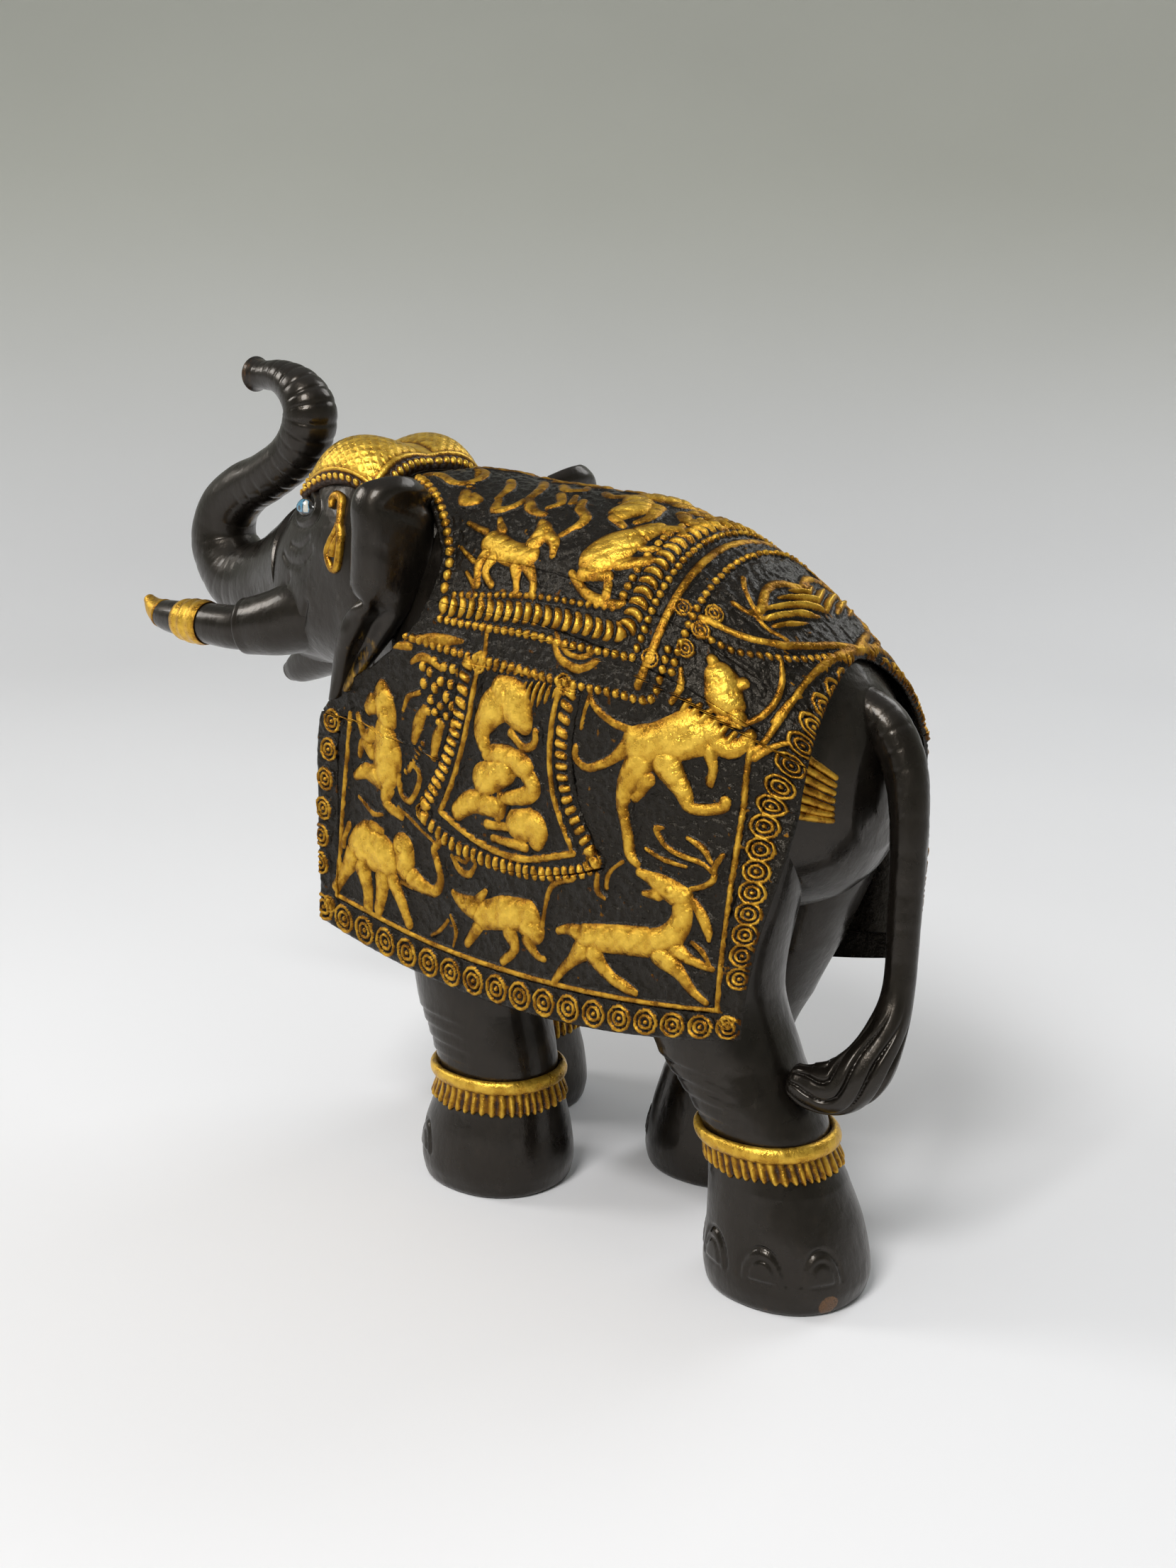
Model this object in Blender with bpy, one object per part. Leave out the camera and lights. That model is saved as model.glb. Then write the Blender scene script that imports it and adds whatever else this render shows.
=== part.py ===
"""A carved and lacquered elephant statuette, built as a carver joins it: a body block, a head block and four
leg blocks pegged together, with trunk, tail, ears and tusks let in, and gilded trappings laid on top.

Metres, +Z up. The elephant faces -Y, its left side is +X, and it stands on z = 0.
"""

import math

import bmesh
import bpy
from mathutils import Matrix, Vector

# Driving dimensions
GAP = 0.0003                # clearance between neighbouring pieces
CLOTH_GAP = 0.0006          # clearance under the cloth, which follows a curved back
CLOTH_THICKNESS = 0.004     # carved cloth laid over the back
BORDER_THICKNESS = 0.0035   # rosette border on the cloth
BORDER_WIDTH = 0.016
PEG_RADIUS = 0.006          # wooden pegs
PEG_CLEARANCE = 0.0003      # room round a peg in its hole
CENTRE_Y = -0.0745          # where the middle of the length lies in the layout below
BODY_SIDES = 28
LEG_SIDES = 16
TRUNK_SIDES = 14

# Sections of the body and head blocks: y, centre z, half width, rise above the centre, drop below it,
# squareness (1 is an ellipse, under 1 is fuller)
BODY_STATIONS = [
    (-0.1350, 0.295, 0.056, 0.0800, 0.076, 0.88),
    (-0.1100, 0.281, 0.067, 0.0970, 0.085, 0.90),
    (-0.0600, 0.270, 0.077, 0.1030, 0.088, 0.90),
    (0.0000, 0.266, 0.079, 0.1035, 0.088, 0.90),
    (0.0500, 0.260, 0.077, 0.0985, 0.085, 0.92),
    (0.0870, 0.253, 0.072, 0.0900, 0.079, 0.95),
    (0.1150, 0.246, 0.063, 0.0780, 0.068, 0.98),
    (0.1350, 0.242, 0.052, 0.0650, 0.055, 1.00),
    (0.1470, 0.240, 0.040, 0.0520, 0.042, 1.00),
    (0.1550, 0.239, 0.026, 0.0360, 0.026, 1.00),
    (0.1585, 0.239, 0.010, 0.0140, 0.010, 1.00),
]
HEAD_STATIONS = [
    (-0.2525, 0.299, 0.029, 0.031, 0.030, 0.90),
    (-0.2400, 0.301, 0.036, 0.040, 0.037, 0.85),
    (-0.2220, 0.308, 0.045, 0.052, 0.046, 0.80),
    (-0.2050, 0.314, 0.050, 0.061, 0.051, 0.74),
    (-0.1850, 0.317, 0.054, 0.068, 0.055, 0.72),
    (-0.1650, 0.315, 0.056, 0.073, 0.058, 0.72),
    (-0.1500, 0.308, 0.057, 0.077, 0.064, 0.78),
    (-0.1353, 0.295, 0.056, 0.080, 0.076, 0.88),
]
CAP_ANGLE = math.radians(46)    # how far the headdress reaches down each side of the crown

# Trunk and tail: x, y, z, radius
TRUNK_PATH = [
    (0, -0.2485, 0.299, 0.0265), (0, -0.272, 0.298, 0.0255), (0, -0.295, 0.299, 0.0240),
    (0, -0.313, 0.307, 0.0225), (0, -0.3265, 0.325, 0.0205), (0, -0.3215, 0.345, 0.0185),
    (0, -0.304, 0.359, 0.0165), (0, -0.283, 0.368, 0.0152), (0, -0.261, 0.380, 0.0150),
    (0, -0.247, 0.394, 0.0160), (0, -0.2435, 0.409, 0.0165), (0, -0.253, 0.4215, 0.0140),
    (0, -0.270, 0.429, 0.0100), (0, -0.286, 0.430, 0.0085), (0, -0.2965, 0.430, 0.0095),
]
TAIL_PATH = [
    (0.000, 0.143, 0.2810, 0.0105), (0.000, 0.157, 0.2750, 0.0110), (0.002, 0.170, 0.258, 0.0095),
    (0.006, 0.178, 0.232, 0.0080), (0.012, 0.183, 0.190, 0.0070), (0.020, 0.188, 0.155, 0.0070),
    (0.028, 0.190, 0.132, 0.0100), (0.036, 0.187, 0.112, 0.0130), (0.042, 0.180, 0.097, 0.0125),
    (0.045, 0.168, 0.094, 0.0095), (0.046, 0.151, 0.094, 0.0060),
]
LIP_PATH = [
    (0, -0.205, 0.276, 0.015), (0, -0.228, 0.268, 0.013), (0, -0.247, 0.258, 0.010),
    (0, -0.260, 0.251, 0.006), (0, -0.268, 0.247, 0.0025),
]
TUSK_PATH = [
    (0.036, -0.200, 0.293, 0.0135), (0.048, -0.228, 0.287, 0.0135), (0.055, -0.250, 0.285, 0.0130),
    (0.058, -0.274, 0.2855, 0.0120), (0.059, -0.295, 0.286, 0.0105), (0.059, -0.310, 0.287, 0.0090),
    (0.0592, -0.319, 0.290, 0.0065), (0.0592, -0.325, 0.2945, 0.0035),
]
TUSK_RINGS = 16
TUSK_SPLIT = 11             # ring at which the gold tip starts
TUSK_PIN = [(0.0588, -0.3010, 0.2862), (0.0591, -0.3160, 0.2890)]
TUSK_PIN_RADIUS = 0.0025

# Cloth edges in shares of the way down (0 ridge, 0.5 widest level, 1 hem): share, y
FRONT_EDGE = [(0.0, -0.115), (0.10, -0.092), (0.20, -0.074), (0.30, -0.068), (0.40, -0.078), (0.46, -0.094),
              (0.50, -0.110), (0.54, -0.130), (0.60, -0.148), (0.68, -0.152), (1.0, -0.151)]
REAR_EDGE = [(0.0, 0.138), (0.15, 0.142), (0.35, 0.146), (0.50, 0.146), (0.62, 0.144), (0.80, 0.138), (1.0, 0.134)]
# Under face of the cloth at its widest level: y, half width. It hangs out to HEM_X at the hem.
CLOTH_WIDTHS = [(-0.16, 0.0795), (0.0, 0.0795), (0.05, 0.0785), (0.087, 0.0745), (0.115, 0.068), (0.135, 0.061),
                (0.150, 0.055)]
HEM_X = 0.0800
HEM_CORNER_Z = 0.134
HEM_SAG = 0.019
SADDLE_SHARE, BAND_SHARE = 0.27, 0.36   # where the saddle cloth and the scroll band end
CLOTH_COLUMNS = 20

# Ear: front (root) line and rear (free) line, from the top down
EAR_ROOT = [(0.040, -0.108, 0.370), (0.050, -0.094, 0.357), (0.056, -0.090, 0.340), (0.063, -0.094, 0.318),
            (0.066, -0.108, 0.298), (0.078, -0.128, 0.270)]
EAR_RIM = [(0.076, -0.092, 0.386), (0.090, -0.102, 0.370), (0.092, -0.103, 0.350), (0.0915, -0.108, 0.322),
           (0.0895, -0.126, 0.298), (0.086, -0.137, 0.261)]
EAR_THICKNESS = 0.005

# Legs, sole to hip: z, x, y, half width across, half width along
LEG_STATIONS = {
    "front_left": [
        (0.000, 0.045, -0.051, 0.0375, 0.040), (0.012, 0.045, -0.051, 0.0395, 0.042),
        (0.030, 0.045, -0.051, 0.0380, 0.040), (0.046, 0.045, -0.050, 0.0335, 0.036),
        (0.056, 0.045, -0.050, 0.0305, 0.033), (0.072, 0.045, -0.053, 0.0310, 0.034),
        (0.100, 0.044, -0.063, 0.0330, 0.037), (0.150, 0.042, -0.070, 0.0345, 0.042),
        (0.200, 0.040, -0.074, 0.0355, 0.047), (0.240, 0.034, -0.076, 0.0300, 0.044),
    ],
    "front_right": [
        (0.000, -0.045, -0.116, 0.0375, 0.040), (0.012, -0.045, -0.116, 0.0395, 0.042),
        (0.030, -0.045, -0.116, 0.0380, 0.040), (0.046, -0.045, -0.115, 0.0335, 0.036),
        (0.056, -0.045, -0.114, 0.0305, 0.033), (0.072, -0.045, -0.113, 0.0310, 0.034),
        (0.100, -0.044, -0.108, 0.0330, 0.037), (0.150, -0.042, -0.096, 0.0345, 0.042),
        (0.200, -0.040, -0.084, 0.0355, 0.047), (0.240, -0.034, -0.078, 0.0300, 0.044),
    ],
    "rear_left": [
        (0.000, 0.045, 0.141, 0.0370, 0.039), (0.012, 0.045, 0.141, 0.0385, 0.041),
        (0.035, 0.045, 0.139, 0.0360, 0.038), (0.056, 0.045, 0.134, 0.0320, 0.034),
        (0.070, 0.045, 0.129, 0.0295, 0.031), (0.086, 0.045, 0.122, 0.0300, 0.032),
        (0.110, 0.044, 0.103, 0.0320, 0.037), (0.145, 0.043, 0.086, 0.0345, 0.040),
        (0.200, 0.040, 0.084, 0.0355, 0.050), (0.245, 0.034, 0.092, 0.0300, 0.044),
    ],
    "rear_right": [
        (0.000, -0.045, 0.035, 0.0370, 0.039), (0.012, -0.045, 0.035, 0.0385, 0.041),
        (0.035, -0.045, 0.036, 0.0360, 0.038), (0.056, -0.045, 0.038, 0.0320, 0.034),
        (0.070, -0.045, 0.041, 0.0295, 0.031), (0.086, -0.045, 0.044, 0.0300, 0.032),
        (0.110, -0.044, 0.052, 0.0320, 0.037), (0.145, -0.043, 0.066, 0.0345, 0.041),
        (0.200, -0.040, 0.080, 0.0355, 0.050), (0.245, -0.034, 0.090, 0.0300, 0.044),
    ],
}
# Height of the gold ring round each ankle, and of the foot of its fringe
ANKLETS = {"front_left": (0.062, 0.044), "front_right": (0.062, 0.044),
           "rear_left": (0.076, 0.060), "rear_right": (0.076, 0.060)}


# ---------------------------------------------------------------- helpers

def clear_scene():
    for obj in list(bpy.data.objects):
        bpy.data.objects.remove(obj, do_unlink=True)


def material(name, colour, roughness, metallic):
    made = bpy.data.materials.get(name)
    if made is None:
        made = bpy.data.materials.new(name)
        made.use_nodes = True
        shader = made.node_tree.nodes["Principled BSDF"]
        shader.inputs["Base Color"].default_value = (*colour, 1.0)
        shader.inputs["Roughness"].default_value = roughness
        shader.inputs["Metallic"].default_value = metallic
    return made


def black_lacquer():
    return material("black_lacquer", (0.012, 0.010, 0.009), 0.22, 0.0)


def gilding():
    return material("gilding", (0.75, 0.48, 0.09), 0.35, 0.9)


def bare_wood():
    return material("bare_wood", (0.55, 0.38, 0.20), 0.6, 0.0)


def eye_enamel():
    return material("eye_enamel", (0.8, 0.82, 0.82), 0.15, 0.0)


def finish_mesh(name, mesh_data, finish):
    """Makes an object of a bmesh: normals out, shaded smooth, with its material."""
    bmesh.ops.recalc_face_normals(mesh_data, faces=mesh_data.faces)
    mesh = bpy.data.meshes.new(name)
    mesh_data.to_mesh(mesh)
    mesh_data.free()
    mesh.materials.append(finish)
    mesh.shade_smooth()
    mesh.set_sharp_from_angle(angle=math.radians(50))
    obj = bpy.data.objects.new(name, mesh)
    bpy.context.scene.collection.objects.link(obj)
    return obj


def blend(stations, share):
    """Smooth (Catmull-Rom) values between rows of a station list whose first column runs from low to high."""
    rows = [row for row in stations]
    last = len(rows) - 2
    k = next((i for i in range(last + 1) if share <= rows[i + 1][0]), last)
    before, start = rows[max(k - 1, 0)], rows[k]
    end, after = rows[k + 1], rows[min(k + 2, last + 1)]
    t = (share - start[0]) / (end[0] - start[0])
    values = []
    for a, b, c, d in zip(before[1:], start[1:], end[1:], after[1:]):
        values.append(0.5 * (2 * b + (c - a) * t + (2 * a - 5 * b + 4 * c - d) * t * t
                             + (3 * b - a - 3 * c + d) * t ** 3))
    return values


def signed_power(value, power):
    return math.copysign(abs(value) ** power, value)


def ring_points(centre, across, along, half_across, half_along, sides, squareness=1.0):
    """A superellipse round centre in the plane of two unit directions; squareness under 1 fills its corners."""
    points = []
    for i in range(sides):
        angle = 2 * math.pi * i / sides
        a = half_across * signed_power(math.cos(angle), squareness)
        b = half_along * signed_power(math.sin(angle), squareness)
        points.append(Vector(centre) + Vector(across) * a + Vector(along) * b)
    return points


def loft(name, rings, finish):
    """A closed skin through rings of equal count, with a flat face over each end."""
    made = bmesh.new()
    layers = [[made.verts.new(p) for p in ring] for ring in rings]
    count = len(rings[0])
    for lower, upper in zip(layers, layers[1:]):
        for i in range(count):
            j = (i + 1) % count
            made.faces.new((lower[i], lower[j], upper[j], upper[i]))
    made.faces.new(layers[0][::-1])
    made.faces.new(layers[-1])
    return finish_mesh(name, made, finish)


def tube_rings(path, sides, side_hint=(1, 0, 0)):
    """Circles square to a path of (x, y, z, radius), and the direction of the path at each."""
    rings, directions = [], []
    for k, (x, y, z, radius) in enumerate(path):
        ahead = Vector(path[min(k + 1, len(path) - 1)][:3])
        behind = Vector(path[max(k - 1, 0)][:3])
        forward = (ahead - behind).normalized()
        across = Vector(side_hint)
        across = (across - across.dot(forward) * forward).normalized()
        along = forward.cross(across)
        rings.append(ring_points((x, y, z), across, along, radius, radius, sides))
        directions.append(forward)
    return rings, directions


def tube(name, path, finish, sides=TRUNK_SIDES, side_hint=(1, 0, 0)):
    """A round bar along a path of (x, y, z, radius)."""
    return loft(name, tube_rings(path, sides, side_hint)[0], finish)


def cutter(obj):
    obj.hide_render = True
    obj.display_type = "WIRE"
    return obj


def cut(obj, *tools):
    for tool in tools:
        modifier = obj.modifiers.new("cut_by_" + tool.name, "BOOLEAN")
        modifier.operation = "DIFFERENCE"
        modifier.solver = "EXACT"
        modifier.object = tool
    return obj


def peg(name, start, end, radius=PEG_RADIUS, sides=16):
    """A wooden peg between two points, with its cutter for the holes; returns the cutter."""
    start, end = Vector(start), Vector(end)
    forward = (end - start).normalized()
    hint = Vector((0, 0, 1)) if abs(forward.z) < 0.9 else Vector((1, 0, 0))
    across = forward.cross(hint).normalized()
    along = forward.cross(across)

    def bar(bar_name, extra, radial, finish):
        ends = [start - forward * extra, end + forward * extra]
        return loft(bar_name, [ring_points(p, across, along, radius + radial, radius + radial, sides)
                               for p in ends], finish)

    bar(name, 0.0, 0.0, bare_wood())
    return cutter(bar(name + "_hole", 0.0005, PEG_CLEARANCE, bare_wood()))


def mirrored(points):
    """The same path on the right side of the elephant."""
    return [(-p[0], *p[1:]) for p in points]


def section_point(stations, y, angle, offset=0.0):
    """A point on a block's skin at y, with the angle turned from straight up towards the left side."""
    centre_z, half_width, rise, drop, squareness = blend(stations, y)
    height = rise if math.cos(angle) >= 0 else drop
    x = (half_width + offset) * signed_power(math.sin(angle), squareness)
    z = centre_z + (height + offset) * signed_power(math.cos(angle), squareness)
    return Vector((x, y, z))


def block(name, stations, samples, finish):
    rings = []
    for y in samples:
        rings.append([section_point(stations, y, 2 * math.pi * i / BODY_SIDES) for i in range(BODY_SIDES)])
    return loft(name, rings, finish)


def spread(start, end, count):
    return [start + (end - start) * i / (count - 1) for i in range(count)]


def smooth_path(path, steps):
    """Extra points along a path of (x, y, z, radius), by the same smooth blend."""
    rows = [(k, *row) for k, row in enumerate(path)]
    return [tuple(blend(rows, share)) for share in spread(0, len(path) - 1, steps)]


def slab(name, lower, upper, finish):
    """A closed sheet between two grids of points of the same shape."""
    made = bmesh.new()
    bottom = [[made.verts.new(p) for p in row] for row in lower]
    top = [[made.verts.new(p) for p in row] for row in upper]
    rows, columns = len(lower), len(lower[0])
    for i in range(rows - 1):
        for j in range(columns - 1):
            made.faces.new((bottom[i][j], bottom[i][j + 1], bottom[i + 1][j + 1], bottom[i + 1][j]))
            made.faces.new((top[i][j], top[i + 1][j], top[i + 1][j + 1], top[i][j + 1]))
    rim = [(0, j) for j in range(columns)] + [(i, columns - 1) for i in range(1, rows)]
    rim += [(rows - 1, j) for j in range(columns - 2, -1, -1)] + [(i, 0) for i in range(rows - 2, 0, -1)]
    for (a, b), (c, d) in zip(rim, rim[1:] + rim[:1]):
        made.faces.new((bottom[a][b], top[a][b], top[c][d], bottom[c][d]))
    return finish_mesh(name, made, finish)


def surface_normal(surface, u, v, step=0.004):
    along_u = surface(u + step, v) - surface(u - step, v)
    along_v = surface(u, v + step) - surface(u, v - step)
    return along_u.cross(along_v).normalized()


# ---------------------------------------------------------------- cloth

def cloth_surface(u, v):
    """The under face of the cloth on the left side: u from front to rear, v from the ridge down to the hem."""
    front = blend(FRONT_EDGE, min(max(v, 0.0), 1.0))[0]
    rear = blend(REAR_EDGE, min(max(v, 0.0), 1.0))[0]
    y = front + (rear - front) * u
    centre_z, _, rise, _, squareness = blend(BODY_STATIONS, min(max(y, -0.112), 0.150))
    half_width = blend(CLOTH_WIDTHS, min(max(y, -0.16), 0.150))[0]
    if v <= 0.5:
        angle = math.pi * v
        x = half_width * signed_power(math.sin(angle), squareness)
        z = centre_z + (rise + 0.0006) * signed_power(math.cos(angle), squareness)
    else:
        hem = HEM_CORNER_Z - HEM_SAG * (1 - (2 * u - 1) ** 2)
        down = (v - 0.5) / 0.5
        x = half_width + (HEM_X - half_width) * math.sin(math.pi / 2 * min(down, 1))
        z = centre_z + (hem - centre_z) * down
    return Vector((x, y, z))


def cloth_point(u, v, offset):
    return cloth_surface(u, v) + surface_normal(cloth_surface, u, max(v, 0.005)) * -offset


def on_side(point, side):
    return Vector((point.x * side, point.y, point.z))


def cloth_grid(u_values, v_values, offset, side):
    return [[on_side(cloth_point(u, v, offset), side) for u in u_values] for v in v_values]


def cloth_sheet(name, v_start, v_end, rows, side, finish):
    u_values = spread(0, 1, CLOTH_COLUMNS)
    v_values = spread(v_start, v_end, rows)
    return slab(name, cloth_grid(u_values, v_values, CLOTH_GAP, side),
                cloth_grid(u_values, v_values, CLOTH_GAP + CLOTH_THICKNESS, side), finish)


def saddle_cloth():
    """The cloth over the back, from one scroll band to the other."""
    u_values = spread(0, 1, CLOTH_COLUMNS)
    v_values = spread(0.0, SADDLE_SHARE, 7)
    layers = []
    for offset in (CLOTH_GAP, CLOTH_GAP + CLOTH_THICKNESS):
        left = cloth_grid(u_values, v_values, offset, 1)
        right = cloth_grid(u_values, v_values[1:], offset, -1)
        for point in left[0]:
            point.x = 0.0
        layers.append(right[::-1] + left)
    return slab("saddle_cloth", layers[0], layers[1], black_lacquer())


def border(name, side):
    """A rosette border: a U-shaped strip along the front edge, the hem and the rear edge of a flank."""
    inset_u, inset_v = BORDER_WIDTH / 0.285, BORDER_WIDTH / 0.26
    outer = [(0.003, v) for v in spread(0.60, 0.96, 8)] + [(0.003, 0.995)]
    inner = [(inset_u, v) for v in spread(0.60, 0.96 - inset_v, 8)] + [(inset_u, 0.995 - inset_v)]
    outer += [(u, 0.995) for u in spread(0.08, 0.92, 16)] + [(0.997, 0.995)]
    inner += [(u, 0.995 - inset_v) for u in spread(0.08, 0.92, 16)] + [(1 - inset_u, 0.995 - inset_v)]
    outer += [(0.997, v) for v in spread(0.96, 0.38, 12)]
    inner += [(1 - inset_u, v) for v in spread(0.96 - inset_v, 0.38, 12)]
    base = CLOTH_GAP + CLOTH_THICKNESS + GAP * 2
    layers = []
    for offset in (base, base + BORDER_THICKNESS):
        layers.append([[on_side(cloth_point(u, v, offset), side) for u, v in edge] for edge in (outer, inner)])
    return slab(name, layers[0], layers[1], gilding())


def niche(name, side):
    """The raised plaque in the middle of a flank, behind the seated figure."""
    base = HEM_X + CLOTH_GAP + CLOTH_THICKNESS + GAP
    rings = []
    for x, scale in ((base, 1.0), (base + 0.003, 1.0), (base + 0.0045, 0.86)):
        rings.append(ring_points((x * side, -0.012, 0.203), (0, 1, 0), (0, 0, 1),
                                 0.033 * scale, 0.050 * scale, 24, 0.8))
    return loft(name, rings, gilding())


# ---------------------------------------------------------------- ears, legs and trappings

def ear_grid(side, grow):
    """Rows of the ear's outer and inner faces, with a slight bulge between root and rim."""
    rows = [(k, *root, *rim) for k, (root, rim) in enumerate(zip(EAR_ROOT, EAR_RIM))]
    outer, inner = [], []
    for k in spread(0, len(rows) - 1, 10):
        values = blend(rows, k)
        root, rim = Vector(values[:3]), Vector(values[3:])
        across = (rim - root).normalized()
        down = Vector((0, 0, -1))
        normal = across.cross(down).normalized()
        if normal.y < 0:
            normal = -normal
        outer_row, inner_row = [], []
        for t in spread(0, 1, 6):
            middle = root + (rim - root) * t + normal * 0.004 * math.sin(math.pi * t)
            middle += across * grow * ((t == 1) - (t == 0))
            half = EAR_THICKNESS / 2 * (1 - 0.45 * t ** 3) + grow
            outer_row.append(on_side(middle + normal * half, side))
            inner_row.append(on_side(middle - normal * half, side))
        outer.append(outer_row)
        inner.append(inner_row)
    if grow:
        for rows_list in (outer, inner):
            for row, lift in ((rows_list[0], grow), (rows_list[-1], -grow)):
                for point in row:
                    point.z += lift
    return outer, inner


def leg_rings(stations, samples, grow):
    rings = []
    for z in samples:
        x, y, across, along = blend(stations, z)
        rings.append(ring_points((x, y, z), (1, 0, 0), (0, 1, 0), across + grow, along + grow, LEG_SIDES, 0.92))
    return rings


def leg(name, stations):
    top = stations[-1][0]
    return loft(name, leg_rings(stations, spread(0, 0.030, 4) + spread(0.036, 0.090, 12) + spread(0.102, top, 8),
                                0.0), black_lacquer())


def leg_cutter(name, stations, samples):
    """A leg grown by the gap: the socket that it stands in, or the hollow of a piece that rests against it."""
    rings = leg_rings(stations, samples, GAP)
    rings.append([point + Vector((0, 0, GAP)) for point in rings[-1]])
    return cutter(loft(name, rings, black_lacquer()))


def leg_band(name, stations, profile, finish):
    """A closed band round a leg; the profile is a loop of (clearance from the leg, height)."""
    made = bmesh.new()
    layers = []
    for offset, z in profile:
        x, y, across, along = blend(stations, z)
        layers.append([made.verts.new(p) for p in ring_points(
            (x, y, z), (1, 0, 0), (0, 1, 0), across + offset, along + offset, LEG_SIDES, 0.92)])
    for lower, upper in zip(layers, layers[1:] + layers[:1]):
        for i in range(LEG_SIDES):
            j = (i + 1) % LEG_SIDES
            made.faces.new((lower[i], lower[j], upper[j], upper[i]))
    return finish_mesh(name, made, finish)


def bored_ring(name, path, wall, finish, sides=14):
    """A bead-shaped ring round a bar: path of (x, y, z, bore radius), thickest in the middle."""
    made = bmesh.new()
    outer, inner = [], []
    for k, (x, y, z, radius) in enumerate(path):
        ahead = Vector(path[min(k + 1, len(path) - 1)][:3])
        behind = Vector(path[max(k - 1, 0)][:3])
        forward = (ahead - behind).normalized()
        across = Vector((1, 0, 0))
        across = (across - across.dot(forward) * forward).normalized()
        along = forward.cross(across)
        thick = wall * (0.6 + 0.4 * math.sin(math.pi * k / (len(path) - 1)))
        outer.append([made.verts.new(p) for p in ring_points(
            (x, y, z), across, along, radius + thick, radius + thick, sides)])
        inner.append([made.verts.new(p) for p in ring_points((x, y, z), across, along, radius, radius, sides)])
    layers = outer + inner[::-1]
    for lower, upper in zip(layers, layers[1:] + layers[:1]):
        for i in range(sides):
            j = (i + 1) % sides
            made.faces.new((lower[i], lower[j], upper[j], upper[i]))
    return finish_mesh(name, made, finish)


def ellipsoid(name, centre, radii, finish):
    made = bmesh.new()
    bmesh.ops.create_uvsphere(made, u_segments=12, v_segments=8, radius=1.0)
    for vert in made.verts:
        vert.co = Vector(centre) + Vector([c * r for c, r in zip(vert.co, radii)])
    return finish_mesh(name, made, finish)


def tusk(word, side):
    """A black tusk with its gold band, and a gold tip held by a pin."""
    path = smooth_path(TUSK_PATH, TUSK_RINGS)
    path = path if side > 0 else mirrored(path)
    rings, directions = tube_rings(path, 12)
    shaft = loft(word + "_tusk", rings[:TUSK_SPLIT + 1], black_lacquer())
    tip_rings = [[point + directions[TUSK_SPLIT] * GAP for point in ring] for ring in rings[TUSK_SPLIT:]]
    tip = loft(word + "_tusk_cap", tip_rings, gilding())
    pin = TUSK_PIN if side > 0 else mirrored(TUSK_PIN)
    hole = peg(word + "_tusk_pin", pin[0], pin[1], TUSK_PIN_RADIUS, 8)
    cut(shaft, hole)
    cut(tip, hole)
    bored_ring(word + "_tusk_band", [(x, y, z, r + GAP * 1.5) for x, y, z, r in path[8:10]], 0.0022, gilding())


def headdress():
    """The gilded cap: a shell over the forehead, swelling into a dome on each side."""
    lower, upper = [], []
    for y in spread(-0.205, -0.142, 8):
        lower_row, upper_row = [], []
        for angle in spread(-CAP_ANGLE, CAP_ANGLE, 15):
            rise = math.sin(math.pi * (y + 0.208) / 0.069) * math.sin(math.pi * abs(angle) / CAP_ANGLE)
            lower_row.append(section_point(HEAD_STATIONS, y, angle, GAP * 3.0))
            upper_row.append(section_point(HEAD_STATIONS, y, angle, 0.003 + 0.009 * rise))
        lower.append(lower_row)
        upper.append(upper_row)
    return slab("headdress", lower, upper, gilding())


def surface_strap(name, stations, marks, radius, finish, side):
    """A slim bar lying on a block's skin through marks of (y, angle in degrees)."""
    def skin(y, angle):
        return section_point(stations, y, angle)

    path = []
    for y, degrees in marks:
        angle = math.radians(degrees)
        point = skin(y, angle) + surface_normal(skin, y, angle, 0.001) * -(radius + GAP * 2)
        path.append((point.x * side, point.y, point.z, radius))
    return tube(name, smooth_path(path, len(path) * 2), finish, sides=8, side_hint=(0, 1, 0))


# ---------------------------------------------------------------- the elephant

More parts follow.
